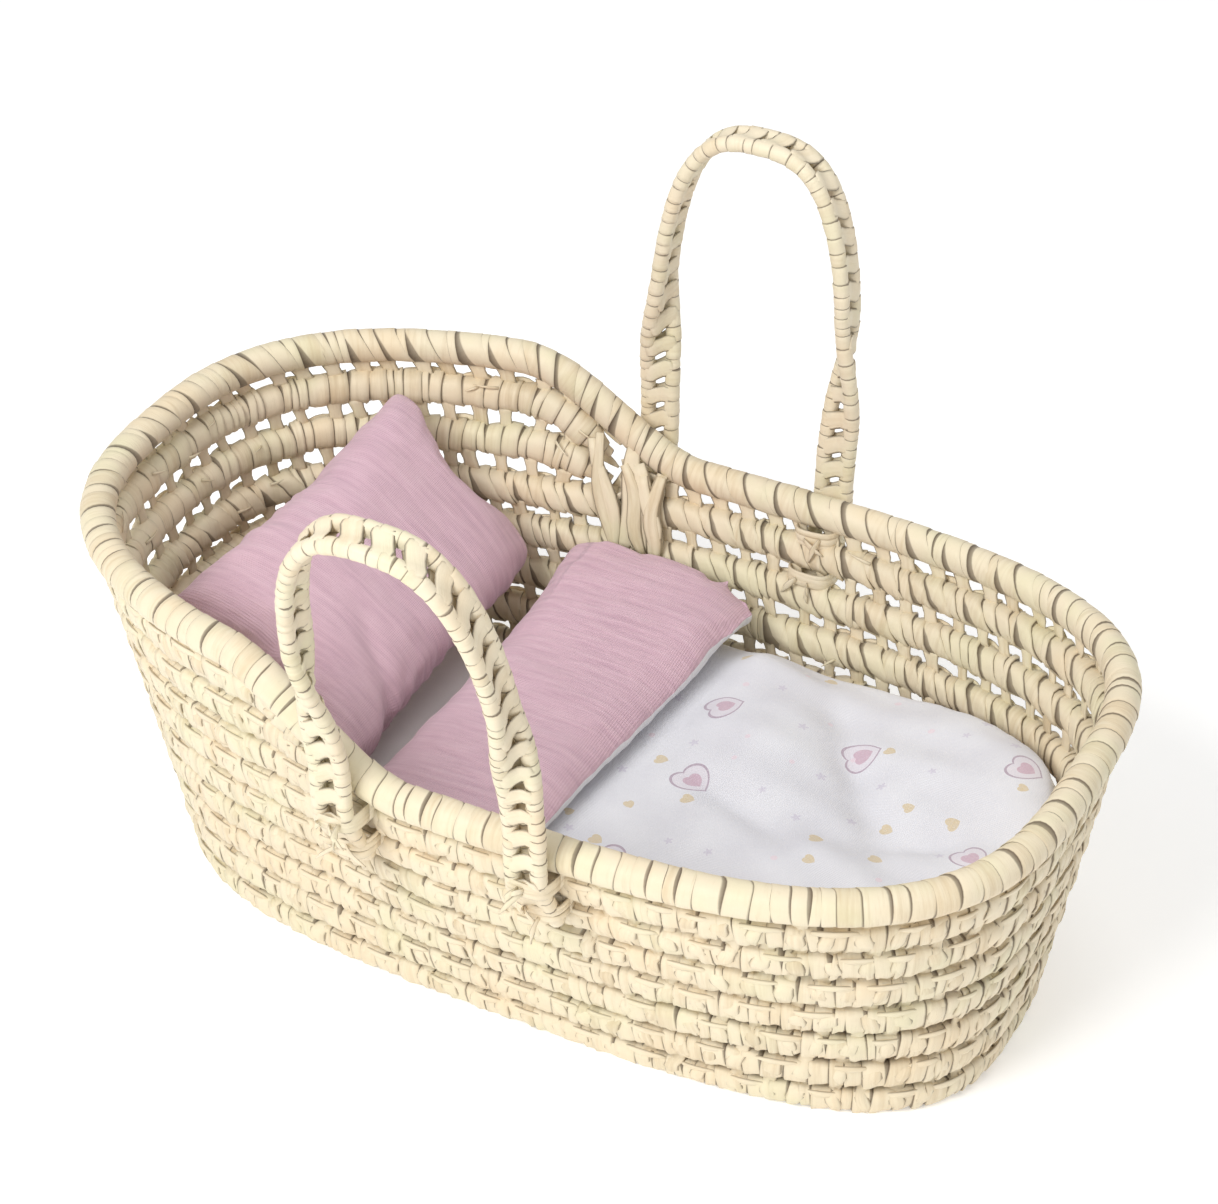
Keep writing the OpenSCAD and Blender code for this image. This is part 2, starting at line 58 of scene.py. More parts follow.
# ---- sizes: the design's shape values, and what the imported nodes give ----

RIM_R = 9 * MM
COURSE_T = 9 * MM
COURSE_H = 14 * MM
RIM_GAP = 5 * MM
FOOT_RISE = 7 * MM
FLOOR_L, FLOOR_W = 211.5 * MM, 99.5 * MM
FLOOR_SHIFT = 7.7 * MM
FOOT_SQUARE, HEAD_SQUARE, FLOOR_SQUARE = 3.16, 2.62, 3.2
FLOOR_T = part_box("base_spine")[1].z
HOOD_FOOT, HOOD_TOP = 0.036, 0.24
COURSES, HOODS, ROUNDS = 7, 2, 4

rim_lo, rim_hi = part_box("rim_wrap")
HALF_L = (rim_hi.x - rim_lo.x) / 2 - RIM_R
HALF_W = (rim_hi.y - rim_lo.y) / 2 - RIM_R
WAIST_Z = 154 * MM
HEAD_Z = rim_hi.z - RIM_R
PITCH = (WAIST_Z - RIM_R - RIM_GAP - COURSE_H) / (COURSES - 1)


def smooth(v):
    c = np.clip(v, 0, 1)
    return c * c * (3 - 2 * c)


def reach(a, b, n, q):
    return ((np.abs(np.cos(q)) / a) ** n + (np.abs(np.sin(q)) / b) ** n) ** (-1 / n)


def rim_xy(q):
    n = np.where(np.cos(q) >= 0, FOOT_SQUARE, HEAD_SQUARE)
    r = reach(HALF_L, HALF_W, n, q)
    return np.stack([r * np.cos(q), r * np.sin(q)], -1)


def floor_xy(q, inset):
    r = reach(FLOOR_L - inset, FLOOR_W - inset, FLOOR_SQUARE, q)
    return np.stack([FLOOR_SHIFT + r * np.cos(q), r * np.sin(q)], -1)


def foot_lift(q):
    return FOOT_RISE * np.maximum(rim_xy(q)[..., 0] / HALF_L, 0) ** 3


def rim_z(q):
    along = rim_xy(q)[..., 0] / (2 * HALF_L)
    hood = smooth((-HOOD_FOOT - along) / (HOOD_TOP - HOOD_FOOT))
    return WAIST_Z + (HEAD_Z - WAIST_Z) * hood + foot_lift(q)


def wall_point(q, z):
    low = floor_xy(q, COURSE_T / 2)
    share = (z / rim_z(q))[..., None]
    xy = low + (rim_xy(q) - low) * share
    return np.concatenate([xy, np.asarray(z)[..., None]], -1)


def course_z(k, q):
    return (COURSE_H / 2 + (k - 1) * PITCH) * (1 + foot_lift(q) / WAIST_Z)


def hood_z(j, q):
    low = course_z(COURSES, q)
    under = rim_z(q) - RIM_R - RIM_GAP - COURSE_H / 2
    return low + (under - low) * j / HOODS


def hood_start():
    """The angle past which there is room for the hood's courses."""
    q = np.radians(np.arange(90, 180, 0.5))
    room = hood_z(HOODS, q) - course_z(COURSES, q)
    return float(q[np.argmax(room >= HOODS * (COURSE_H + 1 * MM))])


HOOD_Q = hood_start()


def unit(v):
    return v / np.linalg.norm(v, axis=-1, keepdims=True)


class Path:
    """A line in space that can be read at any distance along it."""

    def __init__(self, points, outs, closed):
        ends = np.vstack([points, points[:1]]) if closed else points
        steps = np.linalg.norm(np.diff(ends, axis=0), axis=1)
        self.s = np.concatenate([[0], np.cumsum(steps)])
        self.points = ends
        self.outs = np.vstack([outs, outs[:1]]) if closed else outs
        self.length = float(self.s[-1])
        self.closed = closed

    def read(self, table, s):
        s = np.mod(s, self.length) if self.closed else np.clip(s, 0, self.length)
        return np.stack([np.interp(s, self.s, table[:, i]) for i in range(3)], -1)

    def at(self, s):
        return self.read(self.points, s)

    def frame(self, s):
        """Point, forward, outward and upward directions at s, square to the line."""
        step = 1.5 * MM
        ahead = unit(self.at(s + step) - self.at(s - step))
        out = self.read(self.outs, s)
        out = unit(out - ahead * np.sum(out * ahead, -1, keepdims=True))
        return self.at(s), ahead, out, np.cross(out, ahead)

    def nearest(self, point):
        return float(self.s[np.argmin(np.linalg.norm(self.points - point, axis=1))])


def level_outs(points):
    ahead = np.gradient(points, axis=0)
    return unit(np.stack([ahead[:, 1], -ahead[:, 0], np.zeros(len(points))], -1))


def wall_path(height, q0=0.0, q1=TAU, count=1600):
    """The line round the wall whose height above the floor is height(q)."""
    closed = q1 - q0 > TAU - 1e-6
    q = np.linspace(q0, q1, count, endpoint=not closed)
    points = wall_point(q, height(q))
    ahead = wall_point(q + 0.004, height(q)) - wall_point(q - 0.004, height(q))
    climb = wall_point(q, height(q) + 2 * MM) - wall_point(q, height(q) - 2 * MM)
    return Path(points, unit(np.cross(ahead, climb)), closed)


def upward(up):
    return np.where(up[..., 2:3] < 0, -up, up)


# ---- mesh helpers ----


def add_layer(mesh, key, values):
    """Keeps a number or a vector for each point, for the materials to read."""
    kind, field = ("FLOAT", "value") if np.ndim(values) == 1 else ("FLOAT_VECTOR", "vector")
    layer = mesh.attributes.new(key, kind, "POINT")
    layer.data.foreach_set(field, np.asarray(values, np.float32).ravel())


def new_mesh(name, verts, faces, layers=None):
    mesh = bpy.data.meshes.new(name)
    mesh.from_pydata([tuple(v) for v in verts], [], faces)
    for key, values in (layers or {}).items():
        add_layer(mesh, key, values)
    mesh.polygons.foreach_set("use_smooth", [True] * len(mesh.polygons))
    mesh.update()
    piece = bpy.data.objects.new(name, mesh)
    bpy.context.collection.objects.link(piece)
    return piece


class Parts:
    """Collects the leaves that make one piece."""

    def __init__(self):
        self.verts, self.faces = [], []
        self.leaf, self.tone, self.edge = [], [], []
        self.count = 0

    def add(self, verts, faces, leaf, tone, edge):
        self.verts.append(verts)
        self.leaf.append(leaf)
        self.tone.append(tone)
        self.edge.append(edge)
        self.faces.extend([tuple(i + self.count for i in f) for f in faces])
        self.count += len(verts)

    def piece(self, name, material):
        verts = np.vstack(self.verts)
        verts[:, 2] = np.maximum(verts[:, 2], 0)
        made = new_mesh(name, verts, self.faces, {
            "tone": np.concatenate(self.tone),
            # edge: how strongly painted shade darkens each point at a lapped edge
            "edge": np.concatenate(self.edge),
            "leaf": np.vstack(self.leaf),
        })
        made.data.materials.append(material)
        return made


def finish_leaf(parts, name, material, body, slot, *nodes):
    piece = parts.piece(name, material)
    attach(piece, body)
    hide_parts(*nodes)
    return piece


def oval(theta, half_w, half_h, square):
    """A rounded section: across and up, at angle theta."""
    c, s = np.cos(theta), np.sin(theta)
    across = half_w * np.sign(c) * np.abs(c) ** (2 / square)
    up = half_h * np.sign(s) * np.abs(s) ** (2 / square)
    return across, up


# Through each turn of leaf: where its rings stand, how far each stands out, and how strongly painted
# shade darkens it at the step where one turn laps over the next.
WRAP_AT = np.array([0.0, 0.045, 0.3, 0.62, 0.9, 0.97])
WRAP_LIFT = np.array([0.0, 1.0, 0.85, 0.55, 0.3, 0.12])
WRAP_LAP_SHADE = np.array([1.0, 0.15, 0.0, 0.0, 0.05, 0.75])
PER_WRAP = len(WRAP_AT)


def wrap_breaks(length, mean, spread, rng):
    count = max(3, round(length / mean))
    widths = np.array([1 + spread * (rng.random() * 2 - 1) for _ in range(count)])
    return np.concatenate([[0], np.cumsum(widths)]) * length / widths.sum()


def wound_tube(parts, path, half_w, half_h, mean, seed, sides=14, square=2.3, lift=0.5 * MM,
               spread=0.45, helix=0.0, fold=0.25 * MM, wander=0.0, tone_mid=0.5, vary=0.06,
               taper=0.0, flare=0.0):
    """A coil along path with leaf wound about it, each turn lapping over the next."""
    rng = random.Random(seed)
    breaks = wrap_breaks(path.length, mean, spread, rng)
    turns = len(breaks) - 1
    starts, widths = breaks[:-1], np.diff(breaks)
    ring_s = (starts[:, None] + widths[:, None] * WRAP_AT[None]).ravel()
    if not path.closed:
        ring_s = np.append(ring_s, path.length)

    def per_turn(values):
        many = np.repeat(np.array(values), PER_WRAP, axis=0)
        return many if path.closed else np.concatenate([many, many[-1:]])

    def per_ring(values):
        many = np.tile(values, turns)
        return many if path.closed else np.append(many, values[-1])

    rings = len(ring_s)
    ring_lift, ring_lap_shade = per_ring(WRAP_LIFT), per_ring(WRAP_LAP_SHADE)
    wide = per_turn(widths)
    size = per_turn([1 + vary * (rng.random() * 2 - 1) for _ in range(turns)])
    shift = per_turn([vary * (rng.random() * 2 - 1) for _ in range(turns)])
    tilt = per_turn([rng.uniform(-0.18, 0.18) for _ in range(turns)])
    folds = per_turn([[rng.random() * TAU for _ in range(3)] for _ in range(turns)])
    tone = per_turn([rng.random() for _ in range(turns)])
    theta = TAU * np.arange(sides) / sides
    # The outside of each turn stands upright, and inside the turn leans back to meet the one before
    inner = smooth((theta / TAU - 0.5) * 2)[None]
    upright = np.sin(theta + math.pi * 1.5)[None]
    s = ring_s[:, None] + tilt[:, None] * half_h * upright * (1 - inner)
    if helix:
        s = s - helix * wide[:, None] * inner
    centre, ahead, out, up = path.frame(s)
    up = upward(up) if path.closed or taper else up
    across, rise = oval(theta + math.pi * 1.5, half_w, half_h, square)
    rise = rise * (1 + flare * across / half_w)
    phase = (ring_s / mean)[:, None]
    ripple = fold * (np.sin(folds[:, :1] + 2 * theta[None] + phase * 2.6)
                     + 0.6 * np.sin(folds[:, 1:2] + 9 * phase + 0.7 * theta[None]))
    grow = (ring_lift[:, None] * lift + ripple) / min(half_w, half_h)
    scale = (size[:, None] * (1 + grow))[..., None]
    if taper:
        near_end = np.minimum(ring_s, path.length - ring_s) / taper
        scale = scale * (0.25 + 0.75 * smooth(near_end))[:, None, None]
    verts = centre + (out * across[None, :, None]
                      + up * (rise[None, :] + (shift * half_h)[:, None])[..., None]) * scale
    if wander:
        drift = np.sin(s * TAU / 0.11 + seed) + 0.6 * np.sin(s * TAU / 0.043 + 2 * seed)
        verts = verts + up * (wander * drift)[..., None]
    faces = []
    for r in range(rings if path.closed else rings - 1):
        r2 = (r + 1) % rings
        for j in range(sides):
            j2 = (j + 1) % sides
            back = round(helix) * PER_WRAP if helix and j2 == 0 else 0
            a2, b2 = (r - back) % rings, (r2 - back) % rings
            faces.append((r * sides + j, r2 * sides + j, b2 * sides + j2, a2 * sides + j2))
    if not path.closed:
        faces.append(tuple(range(sides)))
        faces.append(tuple((rings - 1) * sides + j for j in range(sides - 1, -1, -1)))
    girth = math.pi * (half_w + half_h)
    leaf = np.stack([
        s,
        np.broadcast_to(theta / TAU * girth, s.shape),
        np.broadcast_to(tone[:, None] * 7.0, s.shape),
    ], -1)
    shown = np.clip(tone * 0.8 + (tone_mid - 0.4), 0, 1)
    parts.add(verts.reshape(-1, 3), faces, leaf.reshape(-1, 3),
              np.broadcast_to(shown[:, None], s.shape).ravel(),
              np.broadcast_to(ring_lap_shade[:, None], s.shape).ravel())


def leaf_strip(parts, line, across, thick, widths, tone, seed, refine=2):
    """A flat leaf along line: across gives its width direction at each point."""
    line, across, widths = np.asarray(line), np.asarray(across), np.asarray(widths, float)
    at = np.arange(len(line))
    fine = np.linspace(0, len(line) - 1, (len(line) - 1) * refine + 1)
    ease = np.stack([np.interp(fine, at, line[:, i]) for i in range(3)], -1)
    ease[1:-1] = ease[:-2] * 0.25 + ease[1:-1] * 0.5 + ease[2:] * 0.25
    across = np.stack([np.interp(fine, at, across[:, i]) for i in range(3)], -1)
    widths = np.interp(fine, at, widths)
    count, sides = len(ease), 8
    ahead = unit(np.gradient(ease, axis=0) + 1e-9)
    across = unit(across - ahead * np.sum(across * ahead, 1, keepdims=True))
    face = np.cross(ahead, across)
    theta = TAU * np.arange(sides) / sides
    a, b = oval(theta, 1.0, 1.0, 2.2)
    crease = 1 + 0.35 * np.cos(2 * theta + seed * 6)
    verts = (ease[:, None] + across[:, None] * (a[None] * widths[:, None] / 2)[..., None]
             + face[:, None] * (b * crease * thick / 2)[None, :, None])
    faces = [(i * sides + j, i * sides + (j + 1) % sides,
              (i + 1) * sides + (j + 1) % sides, (i + 1) * sides + j)
             for i in range(count - 1) for j in range(sides)]
    faces.append(tuple(range(sides - 1, -1, -1)))
    faces.append(tuple((count - 1) * sides + j for j in range(sides)))
    run = np.concatenate([[0], np.cumsum(np.linalg.norm(np.diff(ease, axis=0), axis=1))])
    leaf = np.stack([
        a[None] * widths[:, None] / 2 + seed,
        np.broadcast_to(run[:, None], (count, sides)),
        np.full((count, sides), tone * 5.0),
    ], -1)
    # Painted shade along the strip's two sides, where it lies against the leaf beneath.
    edge = np.broadcast_to(np.abs(a)[None] ** 6 * 0.75, (count, sides))
    parts.add(verts.reshape(-1, 3), faces, leaf.reshape(-1, 3),
              np.full(count * sides, tone), edge.ravel())


# ---- materials ----


class Tree:
    """A short way to build a node material."""

    def __init__(self, name):
        self.material = bpy.data.materials.new(name)
        self.material.use_nodes = True
        self.nodes = self.material.node_tree.nodes
        self.links = self.material.node_tree.links
        self.shader = self.nodes["Principled BSDF"]

    def set(self, node, socket, value):
        if hasattr(value, "is_output"):
            self.links.new(value, node.inputs[socket])
        else:
            node.inputs[socket].default_value = value

    def math(self, op, a, b=0.0, c=None, clamp=False):
        node = self.nodes.new("ShaderNodeMath")
        node.operation = op
        node.use_clamp = clamp
        self.set(node, 0, a)
        self.set(node, 1, b)
        if c is not None:
            self.set(node, 2, c)
        return node.outputs[0]

    def times(self, a, b, clamp=False):
        return self.math("MULTIPLY", a, b, clamp=clamp)

    def vector(self, op, a, b=(0, 0, 0)):
        node = self.nodes.new("ShaderNodeVectorMath")
        node.operation = op
        self.set(node, 0, a)
        self.set(node, 1, b)
        return node.outputs[0]

    def attribute(self, name):
        node = self.nodes.new("ShaderNodeAttribute")
        node.attribute_name = name
        return node

    def noise(self, where, scale, detail=3.0, rough=0.55):
        node = self.nodes.new("ShaderNodeTexNoise")
        self.set(node, "Vector", where)
        self.set(node, "Scale", scale)
        self.set(node, "Detail", detail)
        self.set(node, "Roughness", rough)
        return node.outputs["Fac"]

    def stretched(self, where, scales, detail, rough=0.55):
        return self.noise(self.vector("MULTIPLY", where, scales), 1.0, detail, rough)

    def ramp(self, fac, *stops):
        node = self.nodes.new("ShaderNodeValToRGB")
        self.set(node, "Fac", fac)
        elements = node.color_ramp.elements
        while len(elements) < len(stops):
            elements.new(0.5)
        for element, (place, colour) in zip(elements, stops):
            element.position = place
            element.color = (*colour, 1.0)
        return node.outputs["Color"]

    def mix(self, fac, a, b, kind="MIX"):
        node = self.nodes.new("ShaderNodeMix")
        node.data_type = "RGBA"
        node.blend_type = kind
        self.set(node, 0, fac)
        self.set(node, 6, a if hasattr(a, "is_output") else (*a, 1.0))
        self.set(node, 7, b if hasattr(b, "is_output") else (*b, 1.0))
        return node.outputs[2]

    def separate(self, vector):
        node = self.nodes.new("ShaderNodeSeparateXYZ")
        self.set(node, 0, vector)
        return node.outputs

    def weave(self, where, pitch, depth):
        x, y, _ = self.separate(where)
        warp, weft = (self.math("SINE", self.times(way, pitch)) for way in (x, y))
        return self.times(self.math("ADD", warp, weft), depth)

    def bump(self, height, strength, distance):
        node = self.nodes.new("ShaderNodeBump")
        self.set(node, "Height", height)
        self.set(node, "Strength", strength)
        self.set(node, "Distance", distance)
        return node.outputs["Normal"]

    def finish(self, colour, rough, normal, sheen=0.0, specular=0.4):
        self.set(self.shader, "Base Color", colour)
        self.set(self.shader, "Roughness", rough)
        self.set(self.shader, "Normal", normal)
        self.shader.inputs["Sheen Weight"].default_value = sheen
        self.shader.inputs["Specular IOR Level"].default_value = specular
        return self.material


def leaf_material(name, pale, mid, dark, lap_shade_colour):
    """Dried palm leaf: fine veins along the leaf, tone from turn to turn, and painted shade along the
    lapped edges where one turn covers the next.
    """
    t = Tree(name)
    leaf = t.attribute("leaf").outputs["Vector"]
    tone = t.attribute("tone").outputs["Fac"]
    edge = t.attribute("edge").outputs["Fac"]
    veins = t.stretched(leaf, (2600.0, 160.0, 3.0), 4.0, 0.6)
    streak = t.stretched(leaf, (480.0, 45.0, 5.0), 3.0)
    place = t.nodes.new("ShaderNodeTexCoord").outputs["Object"]
    patch = t.noise(place, 30.0, 2.0)
    fleck = t.noise(place, 210.0, 2.0)
    mixed = t.math("MULTIPLY_ADD", streak, 0.6, t.math("MULTIPLY_ADD", tone, 0.6, -0.1))
    colour = t.ramp(mixed, (0.1, mid), (0.36, pale), (0.62, pale), (0.95, dark))
    tint = t.ramp(patch, (0.32, (0.95, 1.0, 0.93)), (0.5, (1, 1, 1)), (0.7, (1.0, 0.94, 0.88)))
    colour = t.mix(0.85, colour, tint, "MULTIPLY")
    colour = t.mix(t.times(veins, 0.25), colour, mid)
    spot = t.times(t.math("SUBTRACT", fleck, 0.7), 3.0, clamp=True)
    colour = t.mix(t.times(spot, 0.5), colour, dark)
    # Painted shade: the lapped edges are darkened almost to black, where one leaf steps over another.
    gap = t.math("POWER", edge, 1.6)
    colour = t.mix(t.times(gap, 0.9, clamp=True), colour, lap_shade_colour)
    rough = t.math("MULTIPLY_ADD", veins, 0.25, 0.4)
    height = t.math("MULTIPLY_ADD", streak, 0.9, t.times(veins, 0.5))
    return t.finish(colour, rough, t.bump(height, 0.55, 0.5 * MM), sheen=0.05, specular=0.35)


PALE = (0.80, 0.705, 0.525)
MID = (0.68, 0.56, 0.375)
DARK = (0.55, 0.43, 0.26)
# The last colour is near black, for the painted shade along the lapped leaf edges.
LAP_SHADE_DARK = (0.07, 0.038, 0.016)
leaf_wall = leaf_material("palm_leaf", PALE, MID, DARK, LAP_SHADE_DARK)
leaf_handle = leaf_material("palm_leaf_handle", (0.82, 0.725, 0.55), (0.73, 0.62, 0.43), MID, LAP_SHADE_DARK)
leaf_floor = leaf_material("palm_leaf_floor", (0.74, 0.64, 0.45), MID, DARK, LAP_SHADE_DARK)

# ---- the walls ----

WRAP_MEAN = 7.2 * MM
ROLL_R = 8.1 * MM
TIE_MEAN = 14.6 * MM
BAND_H = 7.5 * MM
BAND_T = 4.7 * MM
LOW_BAND_H, LOW_BAND_RISE = 6.5 * MM, 1.3 * MM
HOOD_PAST = 0.05
RIM_TIES = (8.0, 9.6), (5.0, 8.0)


def tie_between(parts, low_path, high_path, s, rng, high_half, slant, wide):
    """A leaf from under the upper course, across the gap, and down the outside of the lower one."""
    low, ahead, out, up = (v[0] for v in low_path.frame(np.array([s])))
    up = upward(up[None])[0]
    high = high_path.at(np.array([high_path.nearest(low)]))[0] + ahead * slant
    climb = unit((high - low)[None])[0]
    inside = rng.uniform(-2.2, 0.4) * MM
    start = high - climb * (high_half - 2.0 * MM) + out * inside
    top = low + climb * (BAND_H - 0.8 * MM) + out * (inside + 1.5 * MM)
    bow = out * rng.uniform(-0.6, 1.0) * MM
    shoulder = low + up * (BAND_H - 1.6 * MM) + out * (BAND_T - 0.4 * MM)
    lean = ahead * rng.uniform(-2.0, 2.0) * MM
    down = low + up * rng.uniform(0.0, 2.0) * MM + out * (BAND_T + 0.7 * MM) + lean
    tail = low - up * (BAND_H - rng.uniform(1.0, 4.0) * MM) + out * (BAND_T - 0.9 * MM) + lean * 1.5
    line = [start, start * 0.5 + top * 0.5 + bow, top, shoulder, down, tail]
    turn = rng.uniform(-0.35, 0.5)
    across = [ahead * math.cos(turn * f) + climb * math.sin(turn * f) for f in (0, 0.8, 1, 0.5, 0.2, 0)]
    spread = rng.uniform(6.5, 9.5) * MM
    widths = [wide * 1.15, wide * 0.85, wide, spread * 0.85, spread, spread * rng.uniform(0.5, 0.9)]
    leaf_strip(parts, line, across, rng.uniform(1.4, 2.0) * MM, widths,
               rng.uniform(0.1, 0.95), rng.random())


def add_ties(parts, low_path, high_path, seed, high_half, s0=0.0, s1=None,
             wide=(6.2, 8.8), slant=(2.0, 7.0)):
    rng = random.Random(seed)
    s1 = low_path.length if s1 is None else s1
    count = max(1, round((s1 - s0) / TIE_MEAN))
    for i in range(count):
        s = s0 + (s1 - s0) * (i + 0.5 + rng.uniform(-0.1, 0.1)) / count
        lean, breadth = rng.uniform(*slant) * MM, rng.uniform(*wide) * MM
        tie_between(parts, low_path, high_path, s, rng, high_half, lean, breadth)


def add_strands(parts, path, seed, height):
    """Long lens shaped leaves along the outer shoulder of a course, end over end."""
    rng = random.Random(seed)
    s = 0.0
    while s < path.length:
        length = rng.uniform(14, 23) * MM
        at = np.linspace(s, s + length, 7)
        centre, _, out, up = path.frame(at)
        up = upward(up)
        bulge = np.sin(np.linspace(0, math.pi, 7))
        line = (centre + out * (BAND_T - 2.0 * MM + bulge[:, None] * 2.0 * MM)
                + up * (height - 1.2 * MM + bulge[:, None] * rng.uniform(0.2, 1.6) * MM))
        widths = (0.9 + rng.uniform(3.0, 4.6) * bulge ** 0.8) * MM
        leaf_strip(parts, line, up, 1.6 * MM, widths, rng.uniform(0.1, 0.8), rng.random(), 1)
        s += length * rng.uniform(0.95, 1.9)


def add_wisps(parts, path, seed, count, side, height):
    """Thin loose ends of leaf on the face of a course."""
    rng = random.Random(seed)
    for _ in range(count):
        s = rng.random() * path.length
        centre, ahead, out, up = (v[0] for v in path.frame(np.array([s])))
        up = upward(up[None])[0]
        way = ahead * rng.choice((-1, 1)) * rng.uniform(5, 13) * MM
        base = centre + out * side * BAND_T + up * height * rng.uniform(-0.6, 1.0)
        tip = base + way - up * rng.uniform(-3, 6) * MM + out * side * rng.uniform(1.0, 3.0) * MM
        line = [base, base * 0.5 + tip * 0.5 + out * side * 1.2 * MM, tip]
        leaf_strip(parts, line, [up, up, up], 0.5 * MM,
                   np.array([1.8, 1.3, 0.3]) * MM, rng.uniform(0.2, 1.0), rng.random())


course_paths = [wall_path(lambda q, k=k: course_z(k, q) + (LOW_BAND_RISE if k == 1 else 0.0))
                for k in range(1, COURSES + 1)]
hood_paths = [wall_path(lambda q, j=j: hood_z(j, q), HOOD_Q - HOOD_PAST, TAU - HOOD_Q + HOOD_PAST, 800)
              for j in range(1, HOODS + 1)]
rim_path = wall_path(rim_z)


def s_at(path, q):
    """Distance along a closed wall path at angle q."""
    return float(np.interp(q % TAU, np.linspace(0, TAU, len(path.s)), path.s))


for k, path in enumerate(course_paths, 1):
    course = Parts()
    half = LOW_BAND_H if k == 1 else BAND_H
    wound_tube(course, path, BAND_T, half, WRAP_MEAN, 10 + k, square=2.7, lift=0.7 * MM,
               helix=1.0, spread=0.55, wander=0.3 * MM, tone_mid=0.45, flare=0.24)
    add_strands(course, path, 70 + k, half)
    add_wisps(course, path, 90 + k, 10, -1, half)
    finish_leaf(course, f"leaf_course_{k}", leaf_wall, "basket", "palm_leaf", f"wall_course_{k}")

for j, path in enumerate(hood_paths, 1):
    course = Parts()
    wound_tube(course, path, BAND_T, BAND_H, WRAP_MEAN, 30 + j, square=2.7, lift=0.7 * MM,
               spread=0.55, wander=0.3 * MM, taper=20 * MM, flare=0.24)
    add_strands(course, path, 80 + j, BAND_H)
    add_wisps(course, path, 100 + j, 8, -1, BAND_H)
    finish_leaf(course, f"leaf_hood_course_{j}", leaf_wall, "basket", "palm_leaf", f"hood_course_{j}")


def make_ties(name, node, low_path, high_path, seed, high_half, *extent):
    ties = Parts()
    add_ties(ties, low_path, high_path, seed, high_half, *extent)
    finish_leaf(ties, name, leaf_wall, "basket", "palm_leaf_tie", node)


for k in range(1, COURSES):
    make_ties(f"leaf_ties_{k}", f"wall_lacing_{k}", course_paths[k - 1], course_paths[k], 50 + k, BAND_H)

# Where the hood rises, its courses come between the top course and the rim
top_course = course_paths[-1]
start_s = s_at(top_course, TAU - HOOD_Q) - top_course.length
end_s = s_at(top_course, HOOD_Q)
make_ties("leaf_ties_rim", "wall_lacing_7", top_course, rim_path, 61, RIM_R, start_s, end_s, *RIM_TIES)
make_ties("leaf_hood_ties_1", "hood_lacing_1", top_course, hood_paths[0], 62, BAND_H,
          end_s + 12 * MM, start_s + top_course.length - 12 * MM)
make_ties("leaf_hood_ties_2", "hood_lacing_2", hood_paths[0], hood_paths[1], 63, BAND_H,
          20 * MM, hood_paths[0].length - 20 * MM)
make_ties("leaf_hood_ties_3", "hood_lacing_3", hood_paths[1], rim_path, 64, RIM_R,
          8 * MM, hood_paths[1].length - 8 * MM, *RIM_TIES)

rim = Parts()
wound_tube(rim, rim_path, ROLL_R, ROLL_R, 8.4 * MM, 5, sides=20, square=2.05, lift=0.3 * MM,
           helix=1.0, spread=0.5, fold=0.08 * MM, vary=0.015, tone_mid=0.4)
finish_leaf(rim, "leaf_rim", leaf_wall, "basket", "palm_leaf", "rim_wrap", "rim_core")

# ---- the floor ----

ROUND_PITCH = (FLOOR_W - COURSE_T - 0.3 * MM) / (ROUNDS + 0.5)
ROUND_GAP = 4 * MM
HALF_ROUND = (ROUND_PITCH - ROUND_GAP) / 2
FLOOR_EDGE = COURSE_T + 0.3 * MM
FLOOR_LEAF_Z = FLOOR_T / 2 + 0.5 * MM
FLOOR_LEAF_H = 3.1 * MM
FLOOR_WRAP = 10 * MM


def floor_path(inset):
    q = np.linspace(0, TAU, 1000, endpoint=False)
    xy = floor_xy(q, inset)
    points = np.concatenate([xy, np.full((1000, 1), FLOOR_LEAF_Z)], -1)
    return Path(points, level_outs(points), True)


for i in range(1, ROUNDS + 1):
    inset = FLOOR_EDGE + (ROUNDS - i) * ROUND_PITCH + HALF_ROUND
    band = Parts()
    wound_tube(band, floor_path(inset), HALF_ROUND, FLOOR_LEAF_H, FLOOR_WRAP, 200 + i,
               square=2.8, helix=1.0, lift=0.4 * MM, spread=0.4)
    finish_leaf(band, f"leaf_floor_round_{i}", leaf_floor, "basket", "palm_leaf_floor",
                f"base_round_{i}")

spine_lo, spine_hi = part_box("base_spine")
spine_x = np.linspace(spine_lo.x + 1 * MM, spine_hi.x - 1 * MM, 80)
spine_points = np.stack([spine_x, np.zeros(80), np.full(80, FLOOR_LEAF_Z)], -1)
spine = Parts()
wound_tube(spine, Path(spine_points, np.tile([0.0, 1.0, 0.0], (80, 1)), False),
           spine_hi.y - 0.5 * MM, FLOOR_LEAF_H, FLOOR_WRAP, 210, square=2.8, taper=16 * MM)
finish_leaf(spine, "leaf_floor_spine", leaf_floor, "basket", "palm_leaf_floor", "base_spine")


def level_frame(step):
    """Forward and outward directions in the level plane along step."""
    ahead = unit(np.array([step[0], step[1], 0.0]))
    return ahead, np.array([ahead[1], -ahead[0], 0.0])


def floor_ties(parts, inset, gap, count, seed):
    rng = random.Random(seed)
    for n in range(count):
        q = np.array([TAU * (n + 0.5) / count])
        mid = np.append(floor_xy(q, inset)[0], FLOOR_LEAF_Z)
        turn = (floor_xy(q + 0.01, inset) - floor_xy(q - 0.01, inset))[0]
        ahead, out = level_frame(turn)
        lift = np.array([0, 0, 1.0])
        line = [mid - out * (gap + 3 * MM) + lift * 1.5 * MM, mid - out * gap + lift * 0.5 * MM,
                mid, mid + out * 3 * MM - lift * 1.5 * MM]
        leaf_strip(parts, line, [ahead] * 4, 1.6 * MM,
                   np.array([8, 5.5, 6, 8.5]) * MM * rng.uniform(0.8, 1.1),
                   rng.random(), rng.random())


